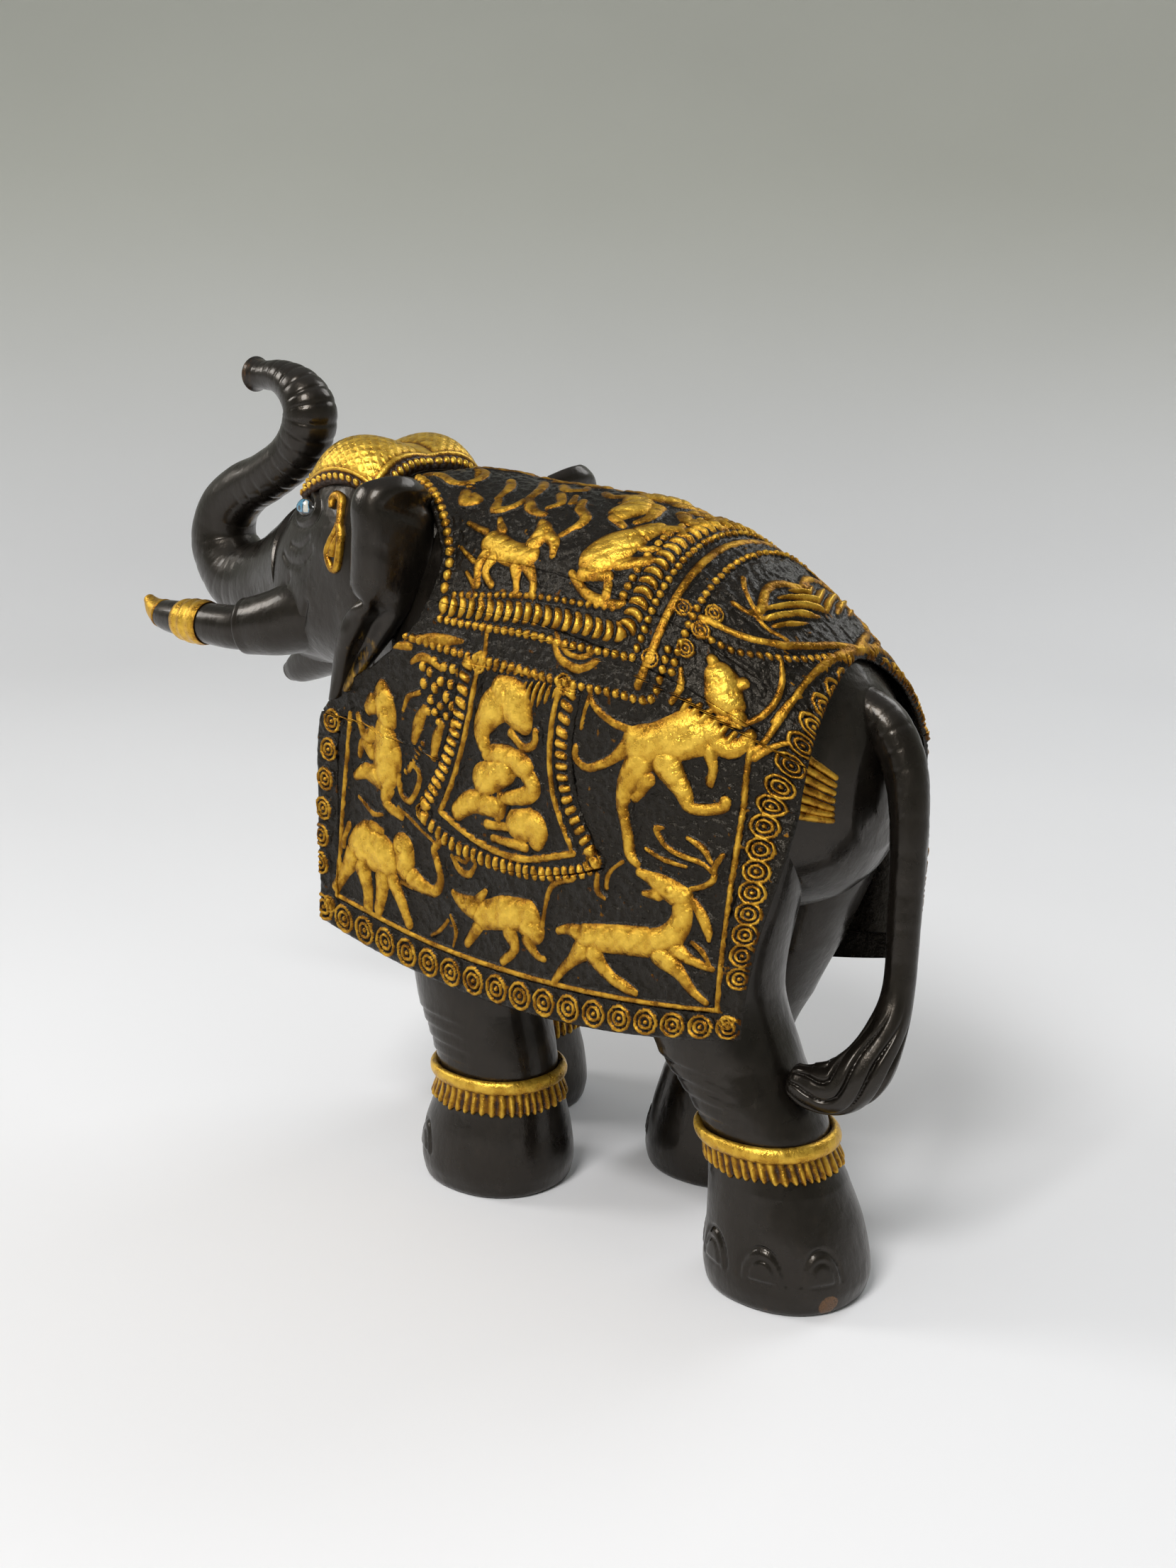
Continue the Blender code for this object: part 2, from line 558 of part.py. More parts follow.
def build():
    clear_scene()
    body_samples = spread(-0.135, 0.090, 13) + spread(0.103, 0.148, 5) + [0.152, 0.155, 0.1575, 0.1585]
    body = block("body", BODY_STATIONS, body_samples, black_lacquer())
    head = block("head", HEAD_STATIONS, spread(-0.2525, -0.1353, 12), black_lacquer())

    trunk_path = smooth_path(TRUNK_PATH, 30)
    trunk = tube("trunk", trunk_path, black_lacquer())
    trunk_socket = [(x, y + (GAP if k == 0 else 0), z, r + GAP) for k, (x, y, z, r) in enumerate(trunk_path[:4])]
    trunk_socket = cutter(tube("trunk_socket", trunk_socket, black_lacquer()))
    tube("lower_lip", smooth_path(LIP_PATH, 9), black_lacquer(), sides=12)
    lip_socket = [(x, y + (GAP if k == 0 else 0), z, r + GAP)
                  for k, (x, y, z, r) in enumerate(smooth_path(LIP_PATH, 9)[:8])]
    lip_cutter = cutter(tube("lip_socket", lip_socket, black_lacquer(), sides=12))
    tail_path = smooth_path(TAIL_PATH, 24)
    tail = tube("tail", tail_path, black_lacquer(), sides=12)
    cut(tail, leg_cutter("tail_rest", LEG_STATIONS["rear_left"], spread(0.036, 0.090, 12) + [0.102, 0.122]))
    tail_socket = [(x, y - (GAP if k == 0 else 0), z + (GAP if k == 0 else 0), r + GAP * 2.5)
                   for k, (x, y, z, r) in enumerate(tail_path[:11])]
    tail_socket = cutter(tube("tail_socket", tail_socket, black_lacquer(), sides=12))

    body_cutters = [tail_socket]
    head_cutters = [lip_cutter, trunk_socket]
    for side, word in ((1, "left"), (-1, "right")):
        outer, inner = ear_grid(side, 0.0)
        slab(word + "_ear", inner, outer, black_lacquer())
        outer, inner = ear_grid(side, GAP * 5)
        ear_groove = cutter(slab(word + "_ear_groove", inner, outer, black_lacquer()))
        body_cutters.append(ear_groove)

        tusk(word, side)
        tusk_path = smooth_path(TUSK_PATH, TUSK_RINGS)[:7]
        tusk_path = tusk_path if side > 0 else mirrored(tusk_path)
        socket = [(x, y + (GAP if k == 0 else 0), z, r + GAP) for k, (x, y, z, r) in enumerate(tusk_path)]
        head_cutters.append(cutter(tube(word + "_tusk_socket", socket, black_lacquer(), sides=12)))

        ellipsoid(word + "_eye", (0.0435 * side, -0.199, 0.3570), (0.0045, 0.0085, 0.0050), eye_enamel())
        head_cutters.append(cutter(ellipsoid(word + "_eye_socket", (0.0435 * side, -0.199, 0.3570),
                                             (0.0045 + GAP, 0.0085 + GAP, 0.0050 + GAP), eye_enamel())))
        surface_strap(word + "_cheek_drop", HEAD_STATIONS,
                      [(-0.160, 54), (-0.158, 62), (-0.164, 69), (-0.170, 76), (-0.164, 84), (-0.160, 90)],
                      0.0030, gilding(), side)
        surface_strap(word + "_crupper", BODY_STATIONS,
                      [(0.1515, 30), (0.1515, 44), (0.1515, 58), (0.1510, 74), (0.1500, 90)],
                      0.0028, gilding(), side)
        cloth_sheet(word + "_scroll_band", SADDLE_SHARE + 0.0025, BAND_SHARE, 4, side, gilding())
        flank = cloth_sheet(word + "_flank_cloth", BAND_SHARE + 0.0025, 1.0, 11, side, black_lacquer())
        cut(flank, ear_groove)
        border(word + "_border", side)
        niche(word + "_niche", side)
    saddle_cloth()
    headdress()

    for name, stations in LEG_STATIONS.items():
        leg_object = leg(name + "_leg", stations)
        body_cutters.append(leg_cutter(name + "_leg_socket", stations, spread(0.102, stations[-1][0], 8)))
        ring_z, fringe_z = ANKLETS[name]
        leg_band(name + "_anklet", stations, [
            (0.0007, ring_z - 0.003), (0.0030, ring_z - 0.0035), (0.0045, ring_z), (0.0030, ring_z + 0.0035),
            (0.0007, ring_z + 0.003), (0.0006, ring_z)], gilding())
        heights = spread(fringe_z, ring_z - 0.0042, 5)
        leg_band(name + "_fringe", stations,
                 [(0.0007, z) for z in heights] + [(0.0028, z) for z in heights[::-1]], gilding())
        _, x, y, _, _ = stations[-1]
        hole = peg(name + "_peg", (x, y, 0.222), (x, y, 0.262))
        cut(leg_object, hole)
        body_cutters.append(hole)

    neck_holes = [peg("upper_neck_peg", (0, -0.165, 0.325), (0, -0.105, 0.325), 0.008),
                  peg("lower_neck_peg", (0, -0.165, 0.270), (0, -0.105, 0.270), 0.008)]
    trunk_hole = peg("trunk_peg", (0, -0.270, 0.299), (0, -0.232, 0.299))
    cut(body, *body_cutters, *neck_holes)
    cut(head, *head_cutters, *neck_holes, trunk_hole)
    cut(trunk, trunk_hole)

    for obj in bpy.data.objects:
        obj.data.transform(Matrix.Translation((0, -CENTRE_Y, 0)))


build()
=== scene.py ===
"""The gilded and lacquered elephant: its carved skin, trappings, materials, light and camera.

Metres, +Z up. The elephant faces -Y and its left side is +X. Cloth patterns are laid out in
millimetres on the cloth itself: the first number runs from front to rear, the second from the ridge
of the back down to the hem.
"""

import math

import bpy
import numpy as np
from mathutils import Matrix, Vector


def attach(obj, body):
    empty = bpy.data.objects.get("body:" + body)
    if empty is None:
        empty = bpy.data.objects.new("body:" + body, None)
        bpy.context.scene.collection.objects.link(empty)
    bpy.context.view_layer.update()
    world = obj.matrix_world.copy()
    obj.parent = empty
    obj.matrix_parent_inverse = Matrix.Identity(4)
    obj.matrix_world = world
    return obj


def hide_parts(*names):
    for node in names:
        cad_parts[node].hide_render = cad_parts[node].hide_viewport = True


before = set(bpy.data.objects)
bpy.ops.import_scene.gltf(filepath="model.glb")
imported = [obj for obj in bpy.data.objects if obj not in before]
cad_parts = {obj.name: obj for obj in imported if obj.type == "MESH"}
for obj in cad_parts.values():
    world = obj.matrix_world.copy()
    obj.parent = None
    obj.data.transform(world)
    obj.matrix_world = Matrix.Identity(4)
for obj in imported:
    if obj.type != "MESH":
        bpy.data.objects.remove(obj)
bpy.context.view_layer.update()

SHIFT_Y = 0.0745                  # the layout's origin lies this far behind the frame's origin
WIDTH_MM = 280.0                  # of the cloth from ridge to hem, which the share v covers
LENGTH_MM = 285.0                 # of the cloth from front to rear, which the share u covers
U_START, U_END = 0.0005, 0.9995   # the cloth's pieces stop this near its front and rear edges

BODY = np.array([
    (-0.1350, 0.295, 0.056, 0.0800, 0.076, 0.88), (-0.1100, 0.281, 0.067, 0.0970, 0.085, 0.90),
    (-0.0600, 0.270, 0.077, 0.1030, 0.088, 0.90), (0.0000, 0.266, 0.079, 0.1035, 0.088, 0.90),
    (0.0500, 0.260, 0.077, 0.0985, 0.085, 0.92), (0.0870, 0.253, 0.072, 0.0900, 0.079, 0.95),
    (0.1150, 0.246, 0.063, 0.0780, 0.068, 0.98), (0.1350, 0.242, 0.052, 0.0650, 0.055, 1.00),
    (0.1470, 0.240, 0.040, 0.0520, 0.042, 1.00), (0.1550, 0.239, 0.026, 0.0360, 0.026, 1.00),
    (0.1585, 0.239, 0.010, 0.0140, 0.010, 1.00)
])
HEAD = np.array([
    (-0.2525, 0.300, 0.033, 0.036, 0.031, 0.92), (-0.2400, 0.303, 0.040, 0.046, 0.038, 0.88),
    (-0.2220, 0.308, 0.0465, 0.0565, 0.046, 0.82), (-0.2050, 0.314, 0.050, 0.061, 0.051, 0.74),
    (-0.1850, 0.317, 0.054, 0.068, 0.055, 0.72), (-0.1650, 0.315, 0.056, 0.073, 0.058, 0.72),
    (-0.1500, 0.308, 0.057, 0.077, 0.064, 0.78), (-0.1353, 0.295, 0.056, 0.080, 0.076, 0.88),
    (-0.1150, 0.284, 0.063, 0.090, 0.084, 0.90)
])
CLOTH_WIDTHS = np.array([
    (-0.16, 0.0795), (0.0, 0.0795), (0.05, 0.0785), (0.087, 0.0745), (0.115, 0.068), (0.135, 0.061),
    (0.150, 0.055)
])
FRONT_EDGE = np.array([
    (0.0, -0.139), (0.09, -0.133), (0.15, -0.110), (0.22, -0.088), (0.30, -0.072), (0.40, -0.078),
    (0.46, -0.094), (0.50, -0.110), (0.54, -0.130), (0.60, -0.148), (0.68, -0.152), (1.0, -0.151)
])
REAR_EDGE = np.array([
    (0.0, 0.138), (0.15, 0.142), (0.35, 0.146), (0.50, 0.146), (0.62, 0.144), (0.80, 0.138),
    (1.0, 0.134)
])
BODY_FRONT, BODY_END = -0.1352, 0.1585
HEM_X, HEM_CORNER_Z, HEM_SAG = 0.0800, 0.134, 0.019
SADDLE_SHARE, BAND_SHARE = 0.27, 0.36

LEGS = {
    "front_left": [
        (0.000, 0.045, -0.051, 0.0375, 0.040), (0.012, 0.045, -0.051, 0.0395, 0.042),
        (0.030, 0.045, -0.051, 0.0380, 0.040), (0.046, 0.045, -0.050, 0.0335, 0.036),
        (0.056, 0.045, -0.050, 0.0305, 0.033), (0.072, 0.045, -0.053, 0.0310, 0.034),
        (0.100, 0.044, -0.063, 0.0330, 0.037), (0.150, 0.042, -0.070, 0.0345, 0.042),
        (0.200, 0.040, -0.074, 0.0355, 0.047), (0.240, 0.034, -0.076, 0.0300, 0.044)],
    "front_right": [
        (0.000, -0.045, -0.116, 0.0375, 0.040), (0.012, -0.045, -0.116, 0.0395, 0.042),
        (0.030, -0.045, -0.116, 0.0380, 0.040), (0.046, -0.045, -0.115, 0.0335, 0.036),
        (0.056, -0.045, -0.114, 0.0305, 0.033), (0.072, -0.045, -0.113, 0.0310, 0.034),
        (0.100, -0.044, -0.108, 0.0330, 0.037), (0.150, -0.042, -0.096, 0.0345, 0.042),
        (0.200, -0.040, -0.084, 0.0355, 0.047), (0.240, -0.034, -0.078, 0.0300, 0.044)],
    "rear_left": [
        (0.000, 0.045, 0.141, 0.0370, 0.039), (0.012, 0.045, 0.141, 0.0385, 0.041),
        (0.035, 0.045, 0.139, 0.0360, 0.038), (0.056, 0.045, 0.134, 0.0320, 0.034),
        (0.070, 0.045, 0.129, 0.0295, 0.031), (0.086, 0.045, 0.122, 0.0300, 0.032),
        (0.110, 0.044, 0.103, 0.0320, 0.037), (0.145, 0.043, 0.086, 0.0345, 0.040),
        (0.200, 0.040, 0.084, 0.0355, 0.050), (0.245, 0.034, 0.092, 0.0300, 0.044)],
    "rear_right": [
        (0.000, -0.045, 0.035, 0.0370, 0.039), (0.012, -0.045, 0.035, 0.0385, 0.041),
        (0.035, -0.045, 0.036, 0.0360, 0.038), (0.056, -0.045, 0.038, 0.0320, 0.034),
        (0.070, -0.045, 0.041, 0.0295, 0.031), (0.086, -0.045, 0.044, 0.0300, 0.032),
        (0.110, -0.044, 0.052, 0.0320, 0.037), (0.145, -0.043, 0.066, 0.0345, 0.041),
        (0.200, -0.040, 0.080, 0.0355, 0.050), (0.245, -0.034, 0.090, 0.0300, 0.044)]
}
UNDER_STRIDE = 40            # the under face of the cloth keeps one column in this many
ANKLETS = {
    "front_left": (0.062, 0.044),
    "front_right": (0.062, 0.044),
    "rear_left": (0.076, 0.060),
    "rear_right": (0.076, 0.060)
}


# ---------------------------------------------------------------- surfaces

def blend(rows, x):
    """Catmull-Rom curve through rows of (x, values): on each span, a cubic whose slopes are the
    chords between the neighbours on either side."""
    rows = np.asarray(rows, float)
    x = np.asarray(x, float)
    k = np.clip(np.searchsorted(rows[:, 0], x, side="left") - 1, 0, len(rows) - 2)
    a, b = rows[np.maximum(k - 1, 0), 1:], rows[k, 1:]
    c, d = rows[k + 1, 1:], rows[np.minimum(k + 2, len(rows) - 1), 1:]
    t = ((x - rows[k, 0]) / (rows[k + 1, 0] - rows[k, 0]))[..., None]
    square, cube = 2 * a - 5 * b + 4 * c - d, 3 * b - a - 3 * c + d
    return 0.5 * (2 * b + (c - a) * t + square * t ** 2 + cube * t ** 3)


def signed_power(value, power):
    """The power of the size, with the value's own sign."""
    return np.sign(value) * np.abs(value) ** power


def smooth(low, high, value):
    """Rises from 0 at low to 1 at high as 3t^2 - 2t^3."""
    t = np.clip((value - low) / (high - low), 0.0, 1.0)
    return t * t * (3 - 2 * t)


def hump(value, centre, width):
    """A bell, exp(-((value - centre) / width)^2)."""
    return np.exp(-((value - centre) / width) ** 2)


def unit(vectors):
    """Vectors over their own lengths."""
    return vectors / np.maximum(np.linalg.norm(vectors, axis=-1, keepdims=True), 1e-12)


def full_turn(count):
    """Angles round a circle, evenly spaced, with no double at the end."""
    return np.linspace(0, 2 * np.pi, count, endpoint=False)


def on_side(points, side):
    """The points as they are for side 1, or mirrored to the other side for -1."""
    return points * np.array([side, 1.0, 1.0])


def grid_normals(points, wrap_columns=False):
    """Unit cross product of the central differences along the two directions of a grid."""
    if wrap_columns:
        columns = np.roll(points, -1, 1) - np.roll(points, 1, 1)
    else:
        columns = np.gradient(points, axis=1)
    return unit(np.cross(columns, np.gradient(points, axis=0)))


def lattice_noise(x, y, seed):
    """Smooth noise: random values on a unit lattice, joined by 3t^2 - 2t^3, from 0 to 1."""
    table = np.random.default_rng(seed).random((64, 64))
    i, j = np.floor(x).astype(int), np.floor(y).astype(int)
    fx, fy = x - i, y - j
    fx, fy = fx * fx * (3 - 2 * fx), fy * fy * (3 - 2 * fy)
    a, b = table[i % 64, j % 64], table[(i + 1) % 64, j % 64]
    c, d = table[i % 64, (j + 1) % 64], table[(i + 1) % 64, (j + 1) % 64]
    return (a * (1 - fx) + b * fx) * (1 - fy) + (c * (1 - fx) + d * fx) * fy


def make_object(name, vertices, faces, finish, values=None):
    """Puts whole arrays of points and faces into a mesh, with a number per point where the finish
    needs one."""
    vertices = np.asarray(vertices, float).reshape(-1, 3)
    mesh = bpy.data.meshes.new(name)
    mesh.from_pydata(vertices.tolist(), [], faces)
    for key, numbers in (values or {}).items():
        layer = mesh.attributes.new(key, "FLOAT", "POINT")
        layer.data.foreach_set("value", np.asarray(numbers, np.float32).reshape(-1))
    mesh.materials.append(finish)
    mesh.shade_smooth()
    mesh.validate()
    obj = bpy.data.objects.new(name, mesh)
    bpy.context.scene.collection.objects.link(obj)
    return obj


def quads(rows, columns, wrap_rows=False, wrap_columns=False, flip=False, start=0):
    """Corner numbers of the cells of a grid, row by row."""
    i = np.arange(rows if wrap_rows else rows - 1)[:, None]
    j = np.arange(columns if wrap_columns else columns - 1)[None, :]
    i2, j2 = (i + 1) % rows, (j + 1) % columns
    cells = np.stack([i * columns + j, i * columns + j2, i2 * columns + j2, i2 * columns + j], -1)
    cells = cells.reshape(-1, 4) + start
    return (cells[:, ::-1] if flip else cells).tolist()


def placed(points):
    """From the layout's origin to the frame's."""
    return points + np.array([0.0, SHIFT_Y, 0.0])


def outward_faces(points, faces, middles):
    """The faces, all turned round if most of them face the middles, one of which belongs to each
    face."""
    corners = points[np.array([face[:3] for face in faces[:len(middles)]])]
    normal = np.cross(corners[:, 1] - corners[:, 0], corners[:, 2] - corners[:, 0])
    inwards = ((corners[:, 0] - middles) * normal).sum() < 0
    return [face[::-1] for face in faces] if inwards else faces


def capped(rings):
    """Points and faces of a skin over a grid of rings, closed at each end by a fan to the ring's
    middle."""
    rows, columns = rings.shape[:2]
    points = np.concatenate([rings.reshape(-1, 3), rings[0].mean(0)[None], rings[-1].mean(0)[None]])
    j = np.arange(columns)
    j2 = (j + 1) % columns
    base = (rows - 1) * columns
    faces = quads(rows, columns, wrap_columns=True)
    faces += np.stack([j2, j, np.full(columns, rows * columns)], -1).tolist()
    faces += np.stack([base + j, base + j2, np.full(columns, rows * columns + 1)], -1).tolist()
    return points, outward_faces(points, faces, np.repeat(rings.mean(1), columns, 0)[:-columns])


def closed_loft(name, rings, finish, values=None):
    """One closed skin over a grid of rings."""
    points, faces = capped(rings)
    if values:
        values = {key: np.concatenate([v.reshape(-1), [v[0].mean(), v[-1].mean()]])
                  for key, v in values.items()}
    return make_object(name, placed(points), faces, finish, values)


def joined(name, parts, finish, level):
    """One object made of several closed skins, with one light value."""
    vertices, faces, start = [], [], 0
    for rings in parts:
        points, cells = capped(rings)
        faces += [[start + corner for corner in cell] for cell in cells]
        vertices.append(points)
        start += len(points)
    light = np.full(start, level)
    return make_object(name, placed(np.concatenate(vertices)), faces, finish, {"light": light})


def closed_ring(name, loop, finish, values=None):
    """A closed band: a grid that joins up in both directions."""
    faces = quads(*loop.shape[:2], True, True)
    points = loop.reshape(-1, 3)
    faces = outward_faces(points, faces, np.zeros((len(faces), 3)))
    return make_object(name, placed(loop), faces, finish, values)


def sheet(name, upper, lower, finish, values, flip=False):
    """A closed sheet: a fine upper grid, and an under face that has every row of it but few of its
    columns. The under face's first and last rows have every column, so the strips beside them are
    long polygons."""
    rows, columns = upper.shape[:2]
    picks = np.unique(np.append(np.arange(0, columns, UNDER_STRIDE), columns - 1))
    wide, count = len(picks), rows * columns
    vertices = np.concatenate([upper.reshape(-1, 3), lower[:, picks].reshape(-1, 3),
                               lower[0], lower[-1]])
    first, last = count + rows * wide, count + rows * wide + columns
    faces = quads(rows, columns)
    faces += quads(rows, wide, flip=True, start=count)[wide - 1:-(wide - 1)]
    low = count + (rows - 2) * wide
    for k in range(wide - 1):
        span = list(range(picks[k], picks[k + 1] + 1))
        faces.append([first + j for j in span] + [count + wide + k + 1, count + wide + k])
        faces.append([low + k, low + k + 1] + [last + j for j in reversed(span)])
    j = np.arange(columns - 1)
    faces += np.stack([j + 1, j, first + j, first + j + 1], -1).tolist()
    base = (rows - 1) * columns
    faces += np.stack([base + j, base + j + 1, last + j + 1, last + j], -1).tolist()
    inner = count + np.arange(1, rows - 1) * wide
    left, right = np.arange(rows) * columns, (np.arange(rows) + 1) * columns - 1
    under_left = np.concatenate([[first], inner, [last]])
    under_right = np.concatenate([[first + columns - 1], inner + wide - 1, [last + columns - 1]])
    sides = np.stack([left[:-1], left[1:], under_left[1:], under_left[:-1],
                      right[1:], right[:-1], under_right[:-1], under_right[1:]], -1)
    faces += sides.reshape(-1, 4).tolist()
    used = np.unique(np.concatenate([np.asarray(face) for face in faces]))
    renumber = np.full(len(vertices), -1)
    renumber[used] = np.arange(len(used))
    step = -1 if flip else 1
    faces = [renumber[face[::step]].tolist() for face in faces]
    filled = {key: np.concatenate([v.reshape(-1), np.zeros(len(vertices) - count)])[used]
              for key, v in values.items()}
    return make_object(name, placed(vertices[used]), faces, finish, filled)


def cloth_base(u, v):
    """The under face of the cloth, left side: a superellipse quarter from the ridge to the widest
    level over the first half of v, then a nearly straight fall to the hem, whose height sags as a
    parabola along u."""
    edge = np.clip(v, 0, 1)
    front, rear = blend(FRONT_EDGE, edge)[..., 0], blend(REAR_EDGE, edge)[..., 0]
    y = front + (rear - front) * u
    section = blend(BODY, np.clip(y, -0.112 - 0.0228 * (1 - smooth(0.22, 0.36, edge)), 0.150))
    centre_z, rise, square = section[..., 0], section[..., 2], section[..., 4]
    half = blend(CLOTH_WIDTHS, np.clip(y, -0.16, 0.150))[..., 0]
    angle = np.pi * v
    down = (v - 0.5) / 0.5
    hem = HEM_CORNER_Z - HEM_SAG * (1 - (2 * u - 1) ** 2)
    over = v <= 0.5
    x = np.where(over, half * signed_power(np.sin(angle), square),
                 half + (HEM_X - half) * np.sin(np.pi / 2 * np.clip(down, 0, 1)))
    z = np.where(over, centre_z + (rise + 0.0006) * signed_power(np.cos(angle), square),
                 centre_z + (hem - centre_z) * down)
    return np.stack([x, y, z], -1)


# ---------------------------------------------------------------- carving
# Each figure is a list of chains, and each chain a run of (along, down, radius) in millimetres on
# the cloth.

MONKEY = [
    [(-99, 145, 4), (-98, 153, 9), (-96, 160, 8)], [(-106, 156, 6), (-110, 160, 4)],
    [(-97, 168, 9), (-96, 178, 12), (-98, 189, 9)],
    [(-106, 171, 5), (-113, 174, 3.5), (-118, 165, 2.6)],
    [(-108, 180, 5), (-115, 178, 3), (-117, 184, 2.5)],
    [(-101, 191, 7), (-112, 191, 5), (-120, 195, 3)],
    [(-96, 193, 6), (-97, 201, 4.5), (-86, 204, 3.2)],
    [(-88, 184, 3), (-86, 193, 2.2), (-80, 195, 2.2), (-75, 189, 2.3), (-72, 180, 2.4),
     (-77, 176, 2), (-80, 180, 1.8)]
]
FRUIT = [
    [(-76, 164, 3), (-73, 155, 4.2), (-68, 146, 3)],
    [(-62, 168, 3), (-60, 159, 4), (-56, 151, 2.6)],
    [(-84, 152, 1.5), (-80, 144, 2), (-72, 140, 1.6)],
    [(-57, 128, 2), (-70, 126, 2.4), (-78, 130, 1.8)]
]
FRUIT_BEADS = [
    (-69, 136), (-65, 131), (-61, 136), (-64, 141), (-57, 133), (-53, 138), (-57, 142), (-61, 146),
    (-50, 133), (-53, 146), (-49, 141), (-66, 147), (-55, 127), (-62, 126), (-49, 127), (-47, 149),
    (-70, 130), (-58, 150)
]
SEATED = [
    [(-15, 132, 8), (-6, 134, 10), (0, 139, 7)],
    [(-14, 134, 8), (-23, 140, 8), (-28, 148, 6), (-25, 156, 5), (-18, 159, 4)],
    [(-8, 146, 3), (0, 151, 2.6), (7, 148, 2.8), (8, 142, 2.6)],
    [(-24, 158, 5), (-10, 158, 7), (1, 160, 7)],
    [(3, 163, 6), (7, 169, 5.5), (0, 174, 5), (-14, 178, 3.4)], [(-12, 164, 8), (-26, 171, 9)],
    [(-44, 190, 5.5), (-34, 183, 6.5), (-18, 183, 6)], [(-24, 192, 3), (-10, 191, 2.6)],
    [(-4, 188, 8), (8, 187, 9), (9, 193, 6)], [(-20, 198, 2.4), (2, 198, 3.2)],
    [(-15, 177, 3), (-14, 184, 3.4), (-17, 188, 2)]
]
CAP = [[(2, 130, 6), (12, 127, 5), (19, 125, 2.5)]]
LION = [
    [(33, 143, 2.2), (33, 148, 2.6), (40, 151, 2.6), (49, 147, 2.8), (57, 141, 3), (64, 134, 4)],
    [(68, 134, 8.5), (82, 128, 9.5), (96, 118, 11)], [(70, 140, 8), (64, 152, 6.5), (61, 163, 4.2)],
    [(61, 163, 4.2), (65, 176, 4), (67, 186, 4), (71, 190, 2.8)], [(75, 146, 5), (68, 157, 3.6)],
    [(84, 136, 9), (93, 146, 6), (98, 153, 3.8), (112, 148, 3.6), (114, 143, 3.2)],
    [(103, 114, 8), (112, 118, 5), (118, 112, 4), (121, 104, 3)],
    [(104, 122, 5), (107, 130, 3), (106, 137, 2.6)]
]
STAFF = [
    [(40, 121, 1.8), (44, 126, 2.2), (56, 129, 2.4), (68, 128, 2)],
    [(40, 121, 1.6), (38, 128, 1.6), (36, 135, 1.5)]
]
LION_HEAD = [
    [(103, 88, 9.5), (106, 95, 10.5)], [(96, 82, 3.6), (98, 86, 3)], [(112, 82, 3.2), (110, 86, 3)],
    [(110, 98, 6.4), (113, 100, 5.6)], [(107, 104, 2.4), (115, 104, 2.2)]
]
RUFF = [[(92, 109, 6), (102, 110, 8), (114, 112, 6)]]
SMALL_ELEPHANT = [
    [(-120, 231, 8), (-110, 227, 13), (-99, 229, 12)], [(-108, 217, 4), (-101, 217, 3)],
    [(-84, 220, 9), (-83, 229, 8)],
    [(-78, 232, 7), (-69, 234, 4.5), (-61, 234, 3.6), (-57, 227, 3.2), (-60, 218, 3),
     (-62, 213, 2.8), (-57, 208, 2.6)],
    [(-86, 237, 2), (-78, 237, 2)], [(-123, 236, 7), (-130, 247, 4.5), (-137, 257, 3.6)],
    [(-116, 240, 7), (-112, 250, 5), (-112, 258, 4.5)],
    [(-100, 239, 7), (-102, 250, 4.6), (-104, 257, 4)],
    [(-93, 238, 6), (-86, 247, 5), (-81, 256, 4)],
    [(-126, 221, 2.5), (-130, 229, 2), (-131, 233, 2.6)]
]
RAT = [
    [(-28, 238, 7.5), (-12, 233, 9.5), (4, 231, 9)], [(3, 234, 9), (9, 238, 7)],
    [(-34, 235, 7), (-42, 234, 5), (-48, 231, 2.4)], [(-30, 230, 3.4), (-25, 225, 2.4)],
    [(-30, 243, 4.4), (-35, 250, 3.4), (-38, 254, 3)],
    [(-8, 242, 6), (-5, 249, 3.6), (-13, 257, 3)], [(4, 243, 5), (10, 249, 3), (15, 250, 2.4)],
    [(13, 235, 2), (15, 226, 2), (17, 217, 2), (22, 211, 2), (33, 207, 1.8)]
]
SPRIGS = [
    [(-48, 258, 1.4), (-46, 250, 2.2), (-50, 243, 1.4)],
    [(-64, 257, 1.4), (-57, 252, 1.8), (-52, 246, 1.6)],
    [(-49, 213, 2), (-43, 219, 2.8), (-36, 219, 2.6), (-32, 213, 1.6)],
    [(-46, 213, 1.4), (-40, 214, 1.8), (-36, 211, 1.2)],
    [(48, 201, 2), (48, 209, 2.6), (53, 212, 1.6)],
    [(54, 206, 2.6), (55, 199, 1.8), (63, 191, 1.6)],
    [(105, 224, 2), (111, 228, 2.6), (116, 235, 1.6)],
    [(-88, 200, 1.4), (-72, 206, 1.8), (-58, 211, 1.4)],
    [(-118, 205, 1.6), (-108, 210, 2), (-100, 208, 1.4)]
]
DEER = [
    [(42, 234, 8), (60, 231, 8.5), (80, 229, 9)],
    [(80, 229, 8.5), (91, 225, 8.5), (98, 214, 7), (98, 204, 7)],
    [(97, 201, 8), (88, 198, 7), (79, 195, 4.4), (73, 194, 3)], [(84, 203, 4), (76, 204, 2)],
    [(104, 201, 2.6), (109, 208, 4), (113, 216, 3.4), (114, 221, 1.8)],
    [(102, 195, 2), (108, 192, 2), (113, 187, 2.4), (113, 180, 2.4), (116, 172, 1.6)],
    [(113, 184, 2), (107, 180, 2), (96, 179, 2.2), (87, 177, 2), (81, 170, 2.4), (84, 168, 1.4)],
    [(111, 178, 2), (106, 172, 2.6), (98, 169, 1.8)],
    [(98, 184, 1.6), (86, 184, 2), (76, 181, 1.6)], [(40, 233, 6), (31, 232, 3.6), (24, 234, 2.4)],
    [(40, 240, 7), (33, 247, 4), (27, 253, 3.4), (22, 259, 2.6)],
    [(46, 240, 7), (55, 249, 4.6), (65, 254, 4), (73, 257, 2.8)],
    [(88, 234, 8), (99, 242, 5), (107, 251, 3.6), (115, 257, 2.6)],
    [(95, 229, 6), (106, 234, 3.8), (117, 237, 2.6)]
]
